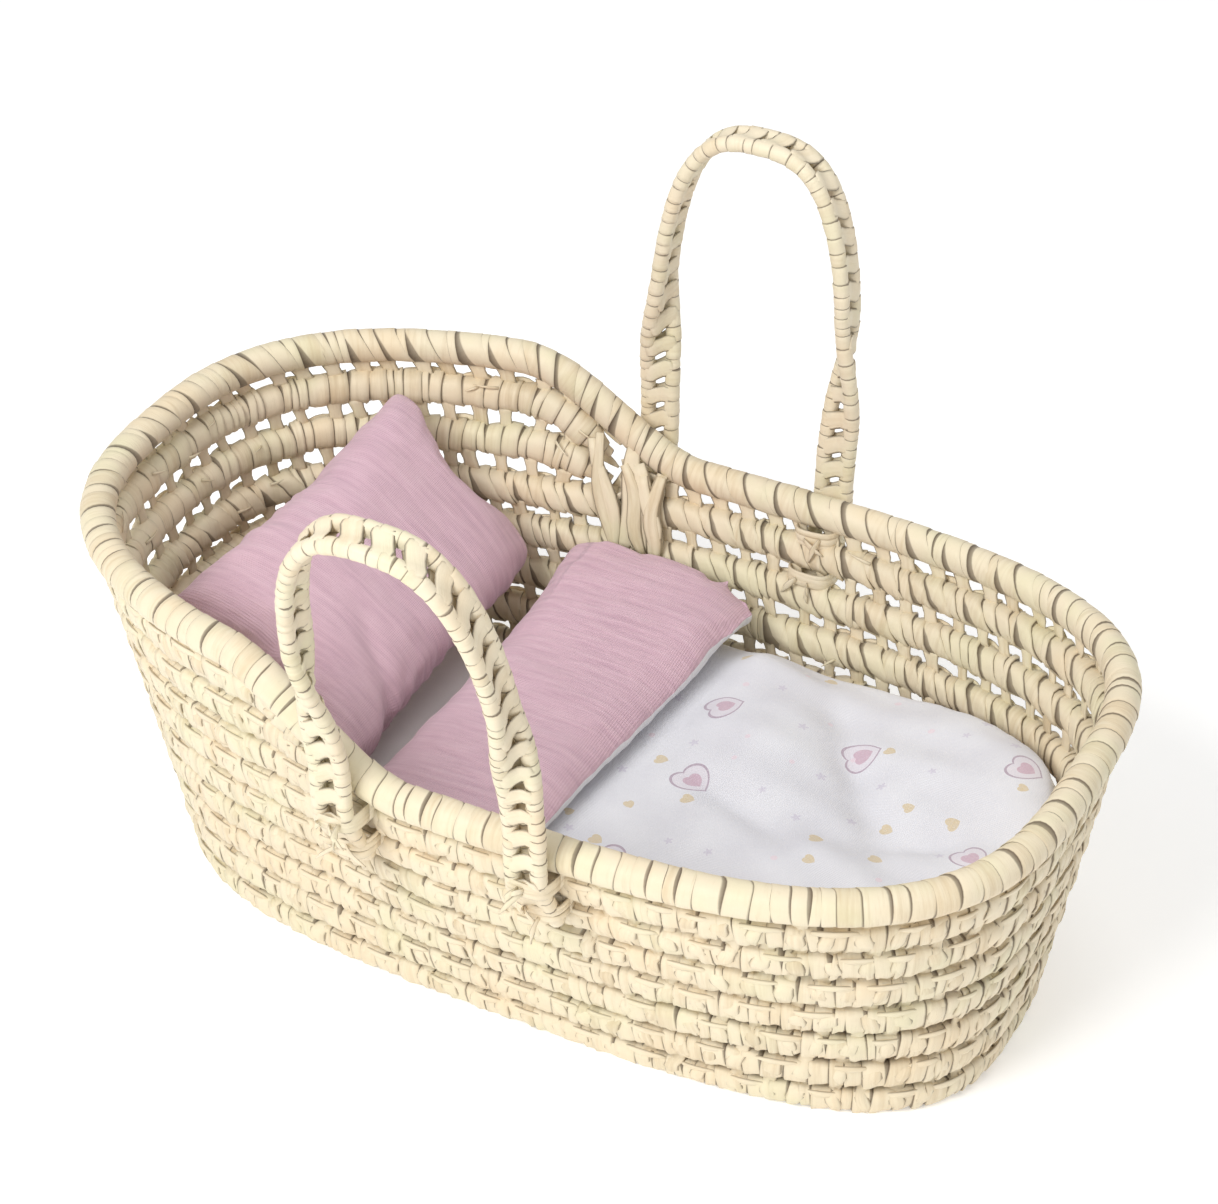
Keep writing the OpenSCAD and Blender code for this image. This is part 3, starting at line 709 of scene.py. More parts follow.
lacing = Parts()
for i in range(1, ROUNDS + 1):
    inset = FLOOR_EDGE + (ROUNDS + 1 - i) * ROUND_PITCH - ROUND_GAP
    floor_ties(lacing, inset, ROUND_GAP, 12 + 12 * i, 220 + i)
finish_leaf(lacing, "leaf_floor_ties", leaf_floor, "basket", "palm_leaf_floor", "base_lacing")
edge_ties = Parts()
floor_ties(edge_ties, COURSE_T, 1 * MM, 84, 230)
finish_leaf(edge_ties, "leaf_floor_edge", leaf_floor, "basket", "palm_leaf_tie", "wall_lacing_0")

# ---- the bundle of leaf at each shoulder ----

SHOULDER_LEAVES = 9

for side, word in ((-1, "near"), (1, "far")):
    bundle = Parts()
    rng = random.Random(300 + side)
    q_mid = side * (HOOD_Q - math.radians(8))
    for n in range(SHOULDER_LEAVES):
        q = np.array([q_mid + math.radians(rng.uniform(-5.5, 5.5))])
        q2 = q + math.radians(rng.uniform(-4.5, 4.5))
        heights = np.linspace(course_z(COURSES - 1, q)[0] + 2 * MM, rim_z(q)[0] - RIM_R * 0.7, 6)
        line = []
        for step, z in enumerate(heights):
            at = q + (q2 - q) * (step / 5)
            point = wall_point(at, np.array([z]))[0]
            turn = wall_point(at + 0.01, np.array([z]))[0] - wall_point(at - 0.01, np.array([z]))[0]
            ahead, out = level_frame(turn)
            bulge = math.sin(math.pi * step / 5)
            sway = ahead * math.sin(step * 1.3 + 2.1 * n) * 2.2 * MM
            line.append(point + sway - out * (5.5 + 2.6 * bulge + 0.35 * n) * MM)
        wide = rng.uniform(7, 12) * MM
        leaf_strip(bundle, line, [ahead] * 6, 2.4 * MM,
                   wide * np.array([0.5, 0.9, 1.0, 0.95, 0.8, 0.6]),
                   rng.uniform(0.2, 0.9), rng.random())
    finish_leaf(bundle, f"leaf_shoulder_{word}", leaf_wall, "basket", "palm_leaf",
                f"shoulder_tie_{word}")

# ---- the handles ----

SPAN, ARCH_H, ARCH_SQUARE, PINCH = 104 * MM, 157 * MM, 2.9, 4 * MM
CORD_R = 3.9 * MM
LEAF_CORD_R = 3.6 * MM
CORD_OFF = 6.4 * MM
FLEX = 8.5 * MM
LACE_PITCH = 13.8 * MM
TWIST_H = ARCH_H * 0.45
LEG_X = SPAN / 2 - PINCH
HINGE_Y, HINGE_Z = HALF_W + RIM_R + CORD_R + 1.6 * MM, WAIST_Z + 24 * MM
KNEE_Y, KNEE_Z = HALF_W + RIM_R + CORD_R + 0.3 * MM, WAIST_Z - RIM_R
END_Z = 113 * MM
END_Y = wall_point(np.array([math.pi / 2]), np.array([END_Z]))[0][1] + COURSE_T / 2 + CORD_R + 1 * MM


def arch_point(t):
    c, s = np.cos(t), np.abs(np.sin(t))
    x = SPAN / 2 * np.sign(c) * np.abs(c) ** (2 / ARCH_SQUARE)
    z = ARCH_H * s ** (2 / ARCH_SQUARE)
    return np.stack([x - np.sign(c) * PINCH * (1 - z / ARCH_H) ** 2, np.zeros_like(x), z], -1)


def arch_frame(t):
    ahead = unit(arch_point(t - 0.005) - arch_point(t + 0.005))
    over = np.stack([-ahead[:, 2], np.zeros(len(t)), ahead[:, 0]], -1)
    point = arch_point(t)
    turn = (math.pi / 2 * smooth((point[:, 2] - FLEX) / TWIST_H))[:, None]
    face = np.cos(turn) * np.array([0.0, 1.0, 0.0]) + np.sin(turn) * over
    return point, ahead, face, np.cross(face, ahead)


def on_hinge(points, side, lean, direction=False):
    """From a handle's own axes to the basket's."""
    y = points[:, 1] * side
    a = -side * lean
    turned = np.stack([points[:, 0], y * math.cos(a) - points[:, 2] * math.sin(a),
                       y * math.sin(a) + points[:, 2] * math.cos(a)], -1)
    return turned if direction else turned + np.array([0.0, side * HINGE_Y, HINGE_Z])


def strap_line(side, lean):
    """The strap's middle line from one foot to the other, with its face and across directions."""
    start = math.asin((FLEX / ARCH_H) ** (ARCH_SQUARE / 2))
    t = np.linspace(math.pi - start, start, 220)
    point, _, face, across = arch_frame(t)
    point = on_hinge(point, side, lean)
    face = on_hinge(face, side, lean, True)
    across = on_hinge(across, side, lean, True)
    z = np.linspace(END_Z, HINGE_Z - 1 * MM, 40)
    y = np.interp(z, [END_Z, KNEE_Z, HINGE_Z], [END_Y, KNEE_Y, HINGE_Y])
    ones = np.ones(40)
    foot = np.stack([-LEG_X * ones, side * y, z], -1)
    foot2 = foot[::-1] * np.array([-1.0, 1.0, 1.0])
    flat = np.tile([0.0, float(side), 0.0], (40, 1))
    points = np.vstack([foot, point, foot2])
    faces = np.vstack([flat, face, flat])
    acrosses = np.vstack([np.tile(across[0], (40, 1)), across, np.tile(across[-1], (40, 1))])
    for _ in range(12):
        points[1:-1] = points[:-2] * 0.25 + points[1:-1] * 0.5 + points[2:] * 0.25
        acrosses[1:-1] = acrosses[:-2] * 0.25 + acrosses[1:-1] * 0.5 + acrosses[2:] * 0.25
    return points, unit(faces), unit(acrosses)


def add_strap(side, lean, word, seed):
    points, faces, acrosses = strap_line(side, lean)
    strap = Parts()
    outs = np.tile([0.0, float(side), 0.0], (len(points), 1))
    for cord in (-1, 1):
        path = Path(points + acrosses * cord * CORD_OFF, outs, False)
        wound_tube(strap, path, LEAF_CORD_R, LEAF_CORD_R, 6.8 * MM, seed + cord, sides=12,
                   square=2.1, lift=0.28 * MM, spread=0.4, fold=0.1 * MM, vary=0.025, tone_mid=0.4)
    middle = Path(points, faces, False)
    cross = Path(points, acrosses, False)
    rng = random.Random(seed)
    count = round(middle.length / LACE_PITCH)
    for n in range(count):
        s = middle.length * (n + 0.5) / count
        mid, ahead, face, _ = (v[0] for v in middle.frame(np.array([s])))
        over = cross.frame(np.array([s]))[2][0]
        slant = ahead * rng.uniform(2.6, 4.0) * MM
        for turn in (-1, 1):
            lift = face * turn
            line = [mid - over * CORD_OFF * 1.15 - slant + lift * (LEAF_CORD_R - 0.9 * MM),
                    mid - over * CORD_OFF * 0.75 - slant * 0.7 + lift * (LEAF_CORD_R - 0.05 * MM),
                    mid + lift * 1.3 * MM,
                    mid + over * CORD_OFF * 0.75 + slant * 0.7 + lift * (LEAF_CORD_R - 0.05 * MM),
                    mid + over * CORD_OFF * 1.15 + slant + lift * (LEAF_CORD_R - 0.9 * MM)]
            wide = rng.uniform(8.6, 10.4) * MM
            leaf_strip(strap, line, [ahead] * 5, 1.0 * MM,
                       wide * np.array([0.7, 1.05, 0.95, 1.05, 0.7]),
                       rng.uniform(0.1, 0.7), rng.random())
    piece = strap.piece(f"leaf_strap_{word}", leaf_handle)
    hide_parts(*[f"{word}_handle_{part}" for part in (
        "feet", "bends", "front_wrap", "front_core", "back_wrap", "back_core", "lacing")])
    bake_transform(piece)


def add_lashings(side, word, seed):
    """Leaf bound round each foot of a strap and through the wall, with knots and loose ends."""
    rng = random.Random(seed)
    bound = Parts()
    up = np.array([0, 0, 1.0])
    for leg in (-1, 1):
        x = leg * LEG_X
        for k in (COURSES - 1, COURSES):
            q = np.array([side * math.acos(x / math.hypot(x, HALF_W))])
            if k < COURSES:
                z = course_z(k, q)[0] + PITCH / 2
            else:
                z = (course_z(k, q)[0] + COURSE_H / 2 + WAIST_Z - RIM_R) / 2
            inner = abs(wall_point(q, np.array([z]))[0][1]) - BAND_T - 1.2 * MM
            outer = np.interp(z, [END_Z, KNEE_Z], [END_Y, KNEE_Y]) + CORD_R + 0.9 * MM
            half = CORD_OFF + CORD_R + 1.0 * MM
            for n in range(3):
                angle = np.linspace(0, TAU, 25)
                c, s = oval(angle, half, (outer - inner) / 2, 3.4)
                rise = (n - 1) * 2.6 * MM + rng.uniform(-1.5, 1.5) * MM * np.sin(angle + n)
                line = np.stack([x + c, side * ((outer + inner) / 2 + s), z + rise], -1)
                leaf_strip(bound, line, [up] * 25, 1.3 * MM,
                           np.full(25, rng.uniform(3.4, 4.8) * MM), rng.uniform(0.3, 0.9),
                           rng.random(), 1)
            for n in range(5):
                face = side * (outer + 0.6 * MM) if n < 3 else side * (inner - 0.6 * MM)
                way = side if n < 3 else -side
                base = np.array([x + rng.uniform(-6, 6) * MM, face, z + rng.uniform(-2, 2) * MM])
                drop = np.array([rng.uniform(-14, 14) * MM, way * rng.uniform(1, 3) * MM,
                                 rng.uniform(-14, 3) * MM])
                lift = np.array([0, way * 2.6 * MM, 1.5 * MM])
                line = [base, base + drop * 0.3 + lift, base + drop * 0.7 + lift * 0.8, base + drop]
                leaf_strip(bound, line, [up] * 4, 0.9 * MM,
                           np.array([3.4, 3.8, 2.6, 0.6]) * MM * rng.uniform(0.6, 1.1),
                           rng.uniform(0.0, 0.9), rng.random())
    finish_leaf(bound, f"leaf_lashings_{word}", leaf_handle, "basket", "palm_leaf_tie",
                f"{word}_handle_lashings")


NEAR_LEAN, FAR_LEAN = math.radians(14), math.radians(2.5)
add_strap(-1, NEAR_LEAN, "near", 400)
add_strap(1, FAR_LEAN, "far", 410)
add_lashings(-1, "near", 420)
add_lashings(1, "far", 430)

# ---- cloth materials ----


def gauze_material(name, lined=False):
    """Double gauze: fine weave, long parallel crinkles with painted shade in their hollows, and soft
    uneven dye.
    """
    t = Tree(name)
    where = t.attribute("cloth").outputs["Vector"]
    warp = t.noise(where, 26.0, 2.0)
    crinkle = t.stretched(where, (34.0, 330.0, 1.0), 3.0, 0.6)
    fine = t.stretched(where, (150.0, 900.0, 1.0), 3.0, 0.6)
    weave = t.weave(where, 6300.0, 0.12)
    # Painted shade: the colour darkens where the crinkles dip, following the same noise that raises
    # their bump.
    colour = t.ramp(crinkle, (0.25, (0.53, 0.335, 0.42)), (0.5, (0.65, 0.435, 0.515)),
                    (0.8, (0.74, 0.53, 0.60)))
    colour = t.mix(t.times(warp, 0.35), colour, (0.67, 0.455, 0.50))
    colour = t.mix(t.times(fine, 0.22), colour, (0.50, 0.31, 0.37))
    if lined:
        turned = t.attribute("lining").outputs["Fac"]
        edge = t.times(t.math("SUBTRACT", turned, 0.47), 16.0, clamp=True)
        colour = t.mix(edge, colour, (0.78, 0.775, 0.81))
    height = t.math("ADD", t.math("MULTIPLY_ADD", crinkle, 1.5, weave), t.times(fine, 0.5))
    return t.finish(colour, 0.88, t.bump(height, 0.7, 0.9 * MM), sheen=0.25, specular=0.15)


def heart(t, u, v):
    """Below nought inside a heart about one across."""
    uu = t.times(u, u)
    vv = t.times(v, v)
    disc = t.math("SUBTRACT", t.math("ADD", uu, vv), 1.0)
    cube = t.times(t.times(disc, disc), disc)
    lobe = t.times(uu, t.times(vv, v))
    return t.math("SUBTRACT", cube, lobe)


def star(t, u, v):
    """Below nought inside a soft five pointed star about one across."""
    radius = t.math("SQRT", t.math("ADD", t.times(u, u), t.times(v, v)))
    angle = t.math("ARCTAN2", v, u)
    points = t.math("COSINE", t.times(angle, 5.0))
    return t.math("SUBTRACT", radius, t.math("MULTIPLY_ADD", points, 0.26, 0.68))


def print_material():
    """White cotton with small pale hearts, stars and dots, and a few larger drawn hearts."""
    t = Tree("printed_cotton")
    where = t.attribute("cloth").outputs["Vector"]

    def cells(cell, loose, size, shift):
        moved = t.vector("ADD", where, (shift, shift * 0.7, 0))
        grid = t.nodes.new("ShaderNodeTexVoronoi")
        grid.voronoi_dimensions = "2D"
        t.set(grid, "Vector", moved)
        t.set(grid, "Scale", 1 / cell)
        t.set(grid, "Randomness", loose)
        offset = t.vector("SUBTRACT", moved, grid.outputs["Position"])
        pick = t.separate(grid.outputs["Color"])
        turned = t.nodes.new("ShaderNodeVectorRotate")
        turned.rotation_type = "Z_AXIS"
        t.set(turned, "Vector", offset)
        t.set(turned, "Angle", t.math("MULTIPLY_ADD", pick[1], 1.6, -2.4))
        u, v, _ = t.separate(turned.outputs["Vector"])
        scale = t.math("MULTIPLY_ADD", pick[2], 0.35, 0.8)
        scale = t.math("DIVIDE", 1 / size, scale)
        return t.times(u, scale), t.times(v, scale), pick[0]

    def below(value, limit=0.0):
        return t.math("LESS_THAN", value, limit)

    def dyed(under, mask, share, tint):
        return t.mix(t.times(mask, t.times(faded, share)), under, tint)

    def between(value, low, high):
        return t.times(t.math("GREATER_THAN", value, low), t.math("LESS_THAN", value, high))

    fine = t.stretched(where, (900.0, 900.0, 1.0), 2.0)
    broad = t.noise(where, 22.0, 3.0)
    colour = t.ramp(broad, (0.3, (0.66, 0.655, 0.70)), (0.7, (0.75, 0.75, 0.785)))
    faded = t.math("MULTIPLY_ADD", fine, -0.5, 0.95)
    u, v, pick = cells(0.023, 0.8, 0.0027, 0.013)
    gold_heart = t.times(below(heart(t, u, v)), between(pick, 0.0, 0.28))
    lilac_star = t.times(below(star(t, u, v)), between(pick, 0.28, 0.62))
    radius = t.math("ADD", t.times(u, u), t.times(v, v))
    pink_dot = t.times(below(radius, 0.3), between(pick, 0.62, 0.85))
    colour = dyed(colour, gold_heart, 0.85, (0.62, 0.46, 0.19))
    colour = dyed(colour, lilac_star, 0.6, (0.50, 0.44, 0.56))
    colour = dyed(colour, pink_dot, 0.6, (0.78, 0.56, 0.62))
    u, v, pick = cells(0.072, 0.35, 0.0078, 0.041)
    big = heart(t, u, v)
    shown = t.math("GREATER_THAN", pick, 0.25)
    fill = t.times(below(big), shown)
    rim_in = heart(t, t.times(u, 1.13), t.times(v, 1.13))
    line = t.times(fill, t.math("GREATER_THAN", rim_in, 0.0))
    inner = heart(t, t.times(u, 2.1), t.times(v, 2.1))
    middle = t.times(below(inner), shown)
    colour = t.mix(t.times(fill, 0.16), colour, (0.62, 0.42, 0.52))
    colour = dyed(colour, middle, 0.75, (0.48, 0.24, 0.33))
    colour = dyed(colour, line, 0.8, (0.27, 0.16, 0.24))
    weave = t.weave(where, 7000.0, 0.25)
    height = t.math("MULTIPLY_ADD", fine, 0.6, weave)
    return t.finish(colour, 0.85, t.bump(height, 0.35, 0.35 * MM), sheen=0.12, specular=0.2)


def plain_cotton(name, base, shade):
    t = Tree(name)
    where = t.attribute("cloth").outputs["Vector"]
    fine = t.stretched(where, (900.0, 900.0, 1.0), 2.0)
    broad = t.noise(where, 24.0, 3.0)
    colour = t.mix(t.times(fine, 0.3), t.ramp(broad, (0.3, shade), (0.7, base)), shade)
    return t.finish(colour, 0.88, t.bump(fine, 0.35, 0.35 * MM), sheen=0.12, specular=0.2)


pink = gauze_material("pink_gauze")
pink_lined = gauze_material("pink_gauze_lined", True)
printed = print_material()
white = plain_cotton("mattress_cotton", (0.88, 0.87, 0.86), (0.78, 0.77, 0.76))

# ---- bedding ----


def apply_modifiers(piece):
    deps = bpy.context.evaluated_depsgraph_get()
    made = bpy.data.meshes.new_from_object(piece.evaluated_get(deps))
    piece.modifiers.clear()
    old = piece.data
    piece.data = made
    bpy.data.meshes.remove(old)


def triples(items, field):
    flat = np.empty(len(items) * 3)
    items.foreach_get(field, flat)
    return flat.reshape(-1, 3)


def coords(piece):
    return triples(piece.data.vertices, "co")


def normals(piece):
    return triples(piece.data.vertex_normals, "vector")


def set_coords(piece, co):
    piece.data.vertices.foreach_set("co", np.asarray(co, float).ravel())
    piece.data.update()


def puff(piece, voxel, cap, pressure=4.0):
    """Swells a closed form like stuffed cloth, and smooths it."""
    remesh = piece.modifiers.new("remesh", "REMESH")
    remesh.mode = "VOXEL"
    remesh.voxel_size = voxel
    apply_modifiers(piece)
    start = coords(piece)
    cloth = piece.modifiers.new("cloth", "CLOTH")
    cloth.settings.quality = 5
    cloth.settings.mass = 0.2
    cloth.settings.use_pressure = True
    cloth.settings.uniform_pressure_force = pressure
    cloth.settings.effector_weights.gravity = 0
    cloth.point_cache.frame_start = 1
    cloth.point_cache.frame_end = 20
    scene = bpy.context.scene
    for step in range(1, 21):
        scene.frame_set(step)
    apply_modifiers(piece)
    scene.frame_set(1)
    move = coords(piece) - start
    size = np.linalg.norm(move, axis=1, keepdims=True)
    set_coords(piece, start + move * np.minimum(1, cap / np.maximum(size, 1e-9)))
    finer = piece.modifiers.new("finer", "SUBSURF")
    finer.levels = finer.render_levels = 1
    apply_modifiers(piece)
    piece.data.polygons.foreach_set("use_smooth", [True] * len(piece.data.polygons))


def paint(piece, materials, index):
    """Gives each face the material index(centres, normals) picks for it."""
    piece.data.materials.clear()
    for material in materials:
        piece.data.materials.append(material)
    polygons = piece.data.polygons
    picked = index(triples(polygons, "center"), triples(polygons, "normal"))
    polygons.foreach_set("material_index", picked.astype(np.int32))
    piece.data.update()


def ripples(points, seed, scale, count=10):
    """Smooth seeded noise from sums of waves, about -1 to 1."""
    rng = np.random.default_rng(seed)
    total = np.zeros(len(points))
    for _ in range(count):
        way = rng.normal(size=3)
        way /= np.linalg.norm(way)
        total += np.sin(points @ way * TAU / (scale * rng.uniform(0.7, 1.5)) + rng.uniform(0, TAU))
    return total / math.sqrt(count)


def inner_half(x, z, back):
    """Half the basket's inner width at x and height z, less back."""
    q = np.linspace(0.02, math.pi - 0.02, 400)
    p = wall_point(q, np.full(400, z))
    return np.interp(x, p[::-1, 0], p[::-1, 1]) - COURSE_T / 2 - back


def outline_form(name, outline, low, high, crown=0.0):
    """A closed form over an outline between two heights, with its rim drawn in at half height."""
    middle = outline.mean(0)
    n = len(outline)
    layers = [(low, 0.97), ((low + high) / 2, 1.0), (high, 0.97)]
    verts = [np.append(middle + (p - middle) * share, z) for z, share in layers for p in outline]
    verts.append(np.append(middle, low))
    verts.append(np.append(middle, high + crown))
    faces = []
    for layer in range(2):
        for i in range(n):
            a, b = layer * n + i, layer * n + (i + 1) % n
            faces.append((a, b, b + n, a + n))
    for i in range(n):
        faces.append(((i + 1) % n, i, 3 * n))
        faces.append((2 * n + i, 2 * n + (i + 1) % n, 3 * n + 1))
    return new_mesh(name, verts, faces)


def slab_outline(x0, x1, z, back, corner):
    """Counter-clockwise outline that follows the wall from x1 back to x0."""
    x = np.linspace(x1, x0, 40)
    half = inner_half(x, z, back)
    to_end = np.minimum(x1 - x, x - x0)
    half = half - corner * (1 - np.sqrt(np.clip(to_end / corner, 0, 1)))
    upper = np.stack([x, half], -1)
    return np.vstack([upper, (upper * np.array([1, -1]))[::-1]])


def make_mattress():
    mattress_lo, mattress_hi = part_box("mattress_cover")
    q = np.linspace(0, TAU, 64, endpoint=False)
    mattress = outline_form("mattress_pad", floor_xy(q, COURSE_T + 7 * MM),
                            mattress_lo.z + 2 * MM, mattress_hi.z - 3 * MM)
    puff(mattress, 6 * MM, 4 * MM)
    co = coords(mattress)
    co += normals(mattress) * (ripples(co, 3, 0.05) * 0.5 * MM)[:, None]
    co[:, 2] = np.clip(co[:, 2], mattress_lo.z, mattress_hi.z)
    set_coords(mattress, co)
    add_layer(mattress.data, "cloth", co)
    paint(mattress, [white], lambda c, n: np.zeros(len(c)))
    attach(mattress, "mattress")
    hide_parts("mattress_cover", "mattress_foam")


make_mattress()

duvet_lo, duvet_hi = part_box("duvet_gauze_side")[0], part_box("duvet_print_side")[1]
FOLD_X = duvet_lo.x

# Rises and dips of the duvet's top: height in mm, then middle x and y, two half widths and the turn,
# in metres and radians
HILLS = (
    (9, 0.075, 0.03, 0.03, 0.05, 0.5),
    (8, 0.165, 0.05, 0.03, 0.035, 0.3),
    (7, 0.12, -0.045, 0.045, 0.028),
    (6, 0.045, 0.085, 0.03, 0.02),
    (-6, 0.12, 0.03, 0.010, 0.05, 0.6),
    (-5, 0.17, 0.0, 0.035, 0.009, 0.5),
    (-4, 0.085, -0.02, 0.04, 0.008, -0.5),
)


def mound(points, x, y, wide, long, turn=0.0):
    along = (points[:, 0] - x) * math.cos(turn) + (points[:, 1] - y) * math.sin(turn)
    aside = (points[:, 1] - y) * math.cos(turn) - (points[:, 0] - x) * math.sin(turn)
    return np.exp(-(along / wide) ** 2 - (aside / long) ** 2)


def make_duvet():
    duvet = outline_form("duvet_body", slab_outline(FOLD_X + 5 * MM, duvet_hi.x - 1 * MM, duvet_lo.z,
                                                    3.5 * MM, 16 * MM),
                         duvet_lo.z + 3.5 * MM, duvet_hi.z - 3.5 * MM)
    puff(duvet, 5 * MM, 4 * MM)
    co = coords(duvet)
    flat_place = co.copy()
    top = smooth((normals(duvet)[:, 2] - 0.1) / 0.6) * smooth((co[:, 0] - 25 * MM) / (20 * MM))
    hills = sum(high * mound(co, *place) for high, *place in HILLS)
    folds = ripples(co * np.array([1.0, 0.55, 0.0]), 7, 0.085) * 1.6 * MM
    small = ripples(co * np.array([0.6, 1.0, 0.0]), 8, 0.026) * 0.8 * MM
    co[:, 2] += top * (folds + small + hills * MM + 1.0 * MM)
    lip = smooth((np.hypot((co[:, 0] - 0.07) / 0.15, co[:, 1] / 0.1) - 0.75) / 0.35)
    ride_up = smooth((co[:, 0] - 0.06) / 0.13) * (0.35 + 0.65 * lip)
    co[:, 2] += ride_up * 12 * MM
    co[:, 0] += ride_up * 5 * MM
    co[:, 1] *= 1 + 0.03 * ride_up
    under = 1 - top
    co += normals(duvet) * (under * ripples(co, 9, 0.04) * 0.5 * MM)[:, None]
    co[:, 2] = np.maximum(co[:, 2], duvet_lo.z)
    set_coords(duvet, co)
    add_layer(duvet.data, "cloth", flat_place)
    paint(duvet, [printed, pink], lambda c, n: n[:, 2] < -0.25)
    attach(duvet, "duvet")
    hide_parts("duvet_print_side", "duvet_gauze_side")


make_duvet()

# The folded end: up round the fold and along over the duvet
FLAP_SECTION = np.array([
    (-65, 81), (-71, 80), (-73.5, 87), (-74.5, 97), (-72.5, 107), (-66, 112.5), (-52, 115.5),
    (-25, 116), (0, 114.5), (14, 111), (18, 105.5), (14, 100.5), (-10, 99), (-40, 99), (-60, 99),
    (-66.5, 96), (-68.5, 90), (-66.5, 84),
]) * MM
FLAP_RIBS = 15


def make_flap():
    verts = []
    for v in np.linspace(-1, 1, FLAP_RIBS):
        skew = 8 * MM + 9 * MM * v
        x = FLAP_SECTION[:, 0] + skew * smooth((FLAP_SECTION[:, 0] + 60 * MM) / (70 * MM))
        half = inner_half(np.maximum(x, FOLD_X), 106 * MM, 5 * MM)
        round_off = np.clip((x - 6 * MM) / (26 * MM), 0, 1) ** 2 * 9 * MM
        rise = 7 * MM * smooth((v - 0.2) / 0.8) * smooth((FLAP_SECTION[:, 1] - 90 * MM) / (15 * MM))
        verts.append(np.stack([x, v * (half - round_off), FLAP_SECTION[:, 1] + rise], -1))
    m = len(FLAP_SECTION)
    faces = [(i * m + j, i * m + (j + 1) % m, (i + 1) * m + (j + 1) % m, (i + 1) * m + j)
             for i in range(FLAP_RIBS - 1) for j in range(m)]
    faces.append(tuple(range(m - 1, -1, -1)))
    faces.append(tuple((FLAP_RIBS - 1) * m + j for j in range(m)))
    flap = new_mesh("duvet_flap_body", np.vstack(verts), faces)
    puff(flap, 4.5 * MM, 3.5 * MM)
    co = coords(flap)
    round_fold = np.where(co[:, 0] < -60 * MM, (co[:, 2] - 0.113), 0)
    run = co[:, 0] - 0.9 * np.maximum(-68 * MM - co[:, 0], 0) + round_fold
    place = np.stack([run, co[:, 1], np.zeros(len(co))], -1)
    up_facing = smooth((normals(flap)[:, 2] - 0.2) / 0.5)
    slow = ripples(co * np.array([0.4, 1.0, 0.0]), 11, 0.05) * 0.8 * MM
    sag = 5 * MM * smooth((co[:, 1] - 60 * MM) / (50 * MM)) * smooth((co[:, 0] - 5 * MM) / (35 * MM))
    co[:, 2] += up_facing * slow - sag * up_facing * 0.8
    co += normals(flap) * (ripples(co * np.array([0.35, 1.6, 1.0]), 12, 0.016) * 0.25 * MM)[:, None]
    set_coords(flap, co)
    add_layer(flap.data, "cloth", place)
    lining = smooth((-normals(flap)[:, 2] + 0.55) / 0.6) * smooth((co[:, 0] + 58 * MM) / (8 * MM))
    add_layer(flap.data, "lining", lining)
    paint(flap, [pink_lined], lambda c, n: np.zeros(len(c)))
    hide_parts("flap_print_side", "flap_gauze_side")
    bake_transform(flap)


make_flap()

# The pillow: a crowned form between its four corners
UPPER_FAR = np.array([-164.0, 105.0, 188.0]) * MM
UPPER_NEAR = np.array([-200.8, -57.6, 145.6]) * MM
LOWER_FAR = np.array([-92.5, 107.0, 107.0]) * MM
LOWER_NEAR = np.array([-87.0, -96.1, 97.0]) * MM
PILLOW_N = 22
across_dir = unit(UPPER_FAR + LOWER_FAR - UPPER_NEAR - LOWER_NEAR)
rise_dir = UPPER_NEAR + UPPER_FAR - LOWER_NEAR - LOWER_FAR
rise_dir = unit(rise_dir - across_dir * np.dot(rise_dir, across_dir))
pillow_up = np.cross(across_dir, rise_dir)


def pillow_form():
    """Two crowned faces over one grid, joined round the seam."""
    n = PILLOW_N
    verts = []
    for w in (-1, 1):
        for i in range(n + 1):
            for j in range(n + 1):
                u, v = i / n, j / n
                u2 = 0.5 + (u - 0.5) * (1.0 - 0.08 * math.sin(math.pi * v) ** 2)
                v2 = 0.5 + (v - 0.5) * (1.0 - 0.06 * math.sin(math.pi * u) ** 2)
                base = ((LOWER_NEAR * (1 - u2) + LOWER_FAR * u2) * (1 - v2)
                        + (UPPER_NEAR * (1 - u2) + UPPER_FAR * u2) * v2)
                crown = max(0.0, (1 - (2 * u - 1) ** 4) * (1 - (2 * v - 1) ** 4)) ** 0.45
                tuck = 6 * MM * math.sin(math.pi * u) ** 0.5 * max(0.0, 1 - 4 * v) ** 2
                base = base - rise_dir * tuck
                verts.append(base + pillow_up * w * (crown * 22 + 1.6) * MM)
    half_count = (n + 1) * (n + 1)
    faces = []
    for i in range(n):
        for j in range(n):
            a = i * (n + 1) + j
            quad = (a, a + 1, a + n + 2, a + n + 1)
            faces.append(quad)
            faces.append(tuple(half_count + k for k in quad[::-1]))
    rim_loop = ([j for j in range(n)] + [i * (n + 1) + n for i in range(n)]
                + [n * (n + 1) + j for j in range(n, 0, -1)] + [i * (n + 1) for i in range(n, 0, -1)])
    for k, a in enumerate(rim_loop):
        b = rim_loop[(k + 1) % len(rim_loop)]
        faces.append((b, a, half_count + a, half_count + b))
    return new_mesh("pillow_body", verts, faces)


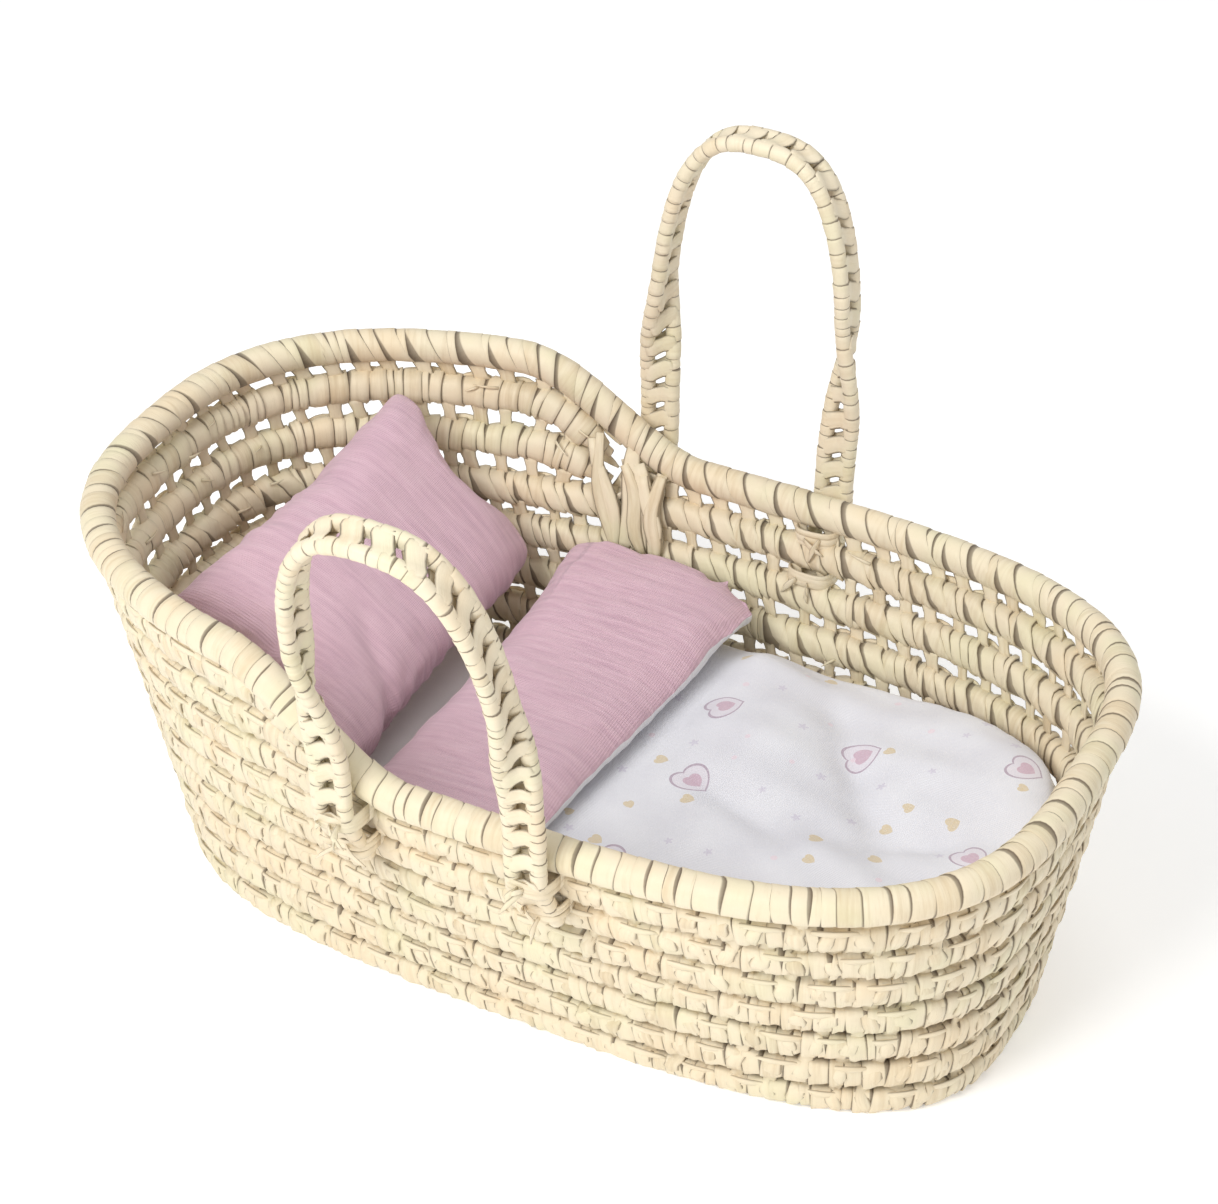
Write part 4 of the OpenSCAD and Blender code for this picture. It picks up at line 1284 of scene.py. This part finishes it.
def make_pillow():
    pillow = pillow_form()
    puff(pillow, 5 * MM, 7 * MM)
    co = coords(pillow)
    centre = (UPPER_FAR + UPPER_NEAR + LOWER_FAR + LOWER_NEAR) / 4
    local = np.stack([(co - centre) @ rise_dir, (co - centre) @ across_dir,
                      (co - centre) @ pillow_up], -1)
    edge_near = np.maximum(np.abs(local[:, 0]) / 0.062, np.abs(local[:, 1]) / 0.1)
    pucker = smooth((edge_near - 0.55) / 0.4)
    angle = np.arctan2(local[:, 1], local[:, 0])
    gather = np.sin(angle * 34 + 2 * np.sin(angle * 5)) * 0.55 * MM * pucker
    lines = ripples(local * np.array([0.25, 1.5, 0.0]), 21, 0.02) * 0.35 * MM
    dents = ripples(local * np.array([1.0, 0.7, 0.0]), 22, 0.09) * 1.6 * MM
    crease_v = np.exp(-(((local[:, 1] + 0.045) - 0.5 * (local[:, 0] + 0.03)) / 0.006) ** 2)
    crease = -2.6 * MM * crease_v * smooth((0.0 - local[:, 0]) / 0.03) * (local[:, 2] > 0)
    co += normals(pillow) * (gather + lines + dents + crease)[:, None]
    set_coords(pillow, co)
    add_layer(pillow.data, "cloth", local)
    paint(pillow, [pink], lambda c, n: np.zeros(len(c)))
    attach(pillow, "pillow")
    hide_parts("pillow_cover", "pillow_filling")


make_pillow()

# ---- floor, lights and camera ----

ground = new_mesh("studio_floor", [(-9, -9, 0), (9, -9, 0), (9, 9, 0), (-9, 9, 0)], [(0, 1, 2, 3)])
studio = Tree("studio_white")
grain = studio.noise(studio.nodes.new("ShaderNodeTexCoord").outputs["Object"], 3.0)
studio.finish(studio.ramp(grain, (0.0, (0.93, 0.93, 0.93)), (1.0, (0.95, 0.95, 0.95))), 0.9,
              studio.bump(grain, 0.02, 1 * MM), specular=0.1)
studio.shader.inputs["Emission Color"].default_value = (1, 1, 1, 1)
studio.shader.inputs["Emission Strength"].default_value = 0.25
ground.data.materials.append(studio.material)


def add_area(name, place, aim, size, watts):
    light = bpy.data.lights.new(name, "AREA")
    light.shape = "DISK"
    light.size = size
    light.energy = watts
    lamp = bpy.data.objects.new(name, light)
    lamp.location = place
    lamp.rotation_euler = (Vector(aim) - Vector(place)).to_track_quat("-Z", "Y").to_euler()
    bpy.context.collection.objects.link(lamp)


add_area("key", (-0.45, -1.6, 1.75), (0, 0, 0.08), 1.2, 38)
add_area("fill", (1.5, -1.2, 0.9), (0, 0, 0.1), 1.6, 5)
add_area("top", (0.3, 0.6, 2.0), (0, 0, 0.1), 1.2, 10)

world = bpy.data.worlds.new("studio")
bpy.context.scene.world = world
world.use_nodes = True
world.node_tree.nodes["Background"].inputs["Color"].default_value = (1, 1, 1, 1)
world.node_tree.nodes["Background"].inputs["Strength"].default_value = 0.43
bpy.context.scene.view_settings.view_transform = "Standard"

CAM_TARGET = Vector((1.2, 9.05, 170.2)) * MM
CAM_AZIMUTH, CAM_ELEVATION, CAM_ROLL = math.radians(27.0), math.radians(35.7), math.radians(0.58)
CAM_DISTANCE = 1.607
FOCAL_IN_WIDTHS = 2.8473
SENSOR_WIDTH = 36

away = Vector((math.sin(CAM_AZIMUTH) * math.cos(CAM_ELEVATION),
               -math.cos(CAM_AZIMUTH) * math.cos(CAM_ELEVATION), math.sin(CAM_ELEVATION)))
camera_data = bpy.data.cameras.new("camera")
camera_data.sensor_fit = "HORIZONTAL"
camera_data.sensor_width = SENSOR_WIDTH
camera_data.lens = SENSOR_WIDTH * FOCAL_IN_WIDTHS
camera = bpy.data.objects.new("camera", camera_data)
facing = (-away).to_track_quat("-Z", "Y").to_matrix().to_4x4()
camera.matrix_world = (Matrix.Translation(CAM_TARGET + away * CAM_DISTANCE) @ facing
                       @ Matrix.Rotation(CAM_ROLL, 4, "Z"))
bpy.context.collection.objects.link(camera)
bpy.context.scene.camera = camera
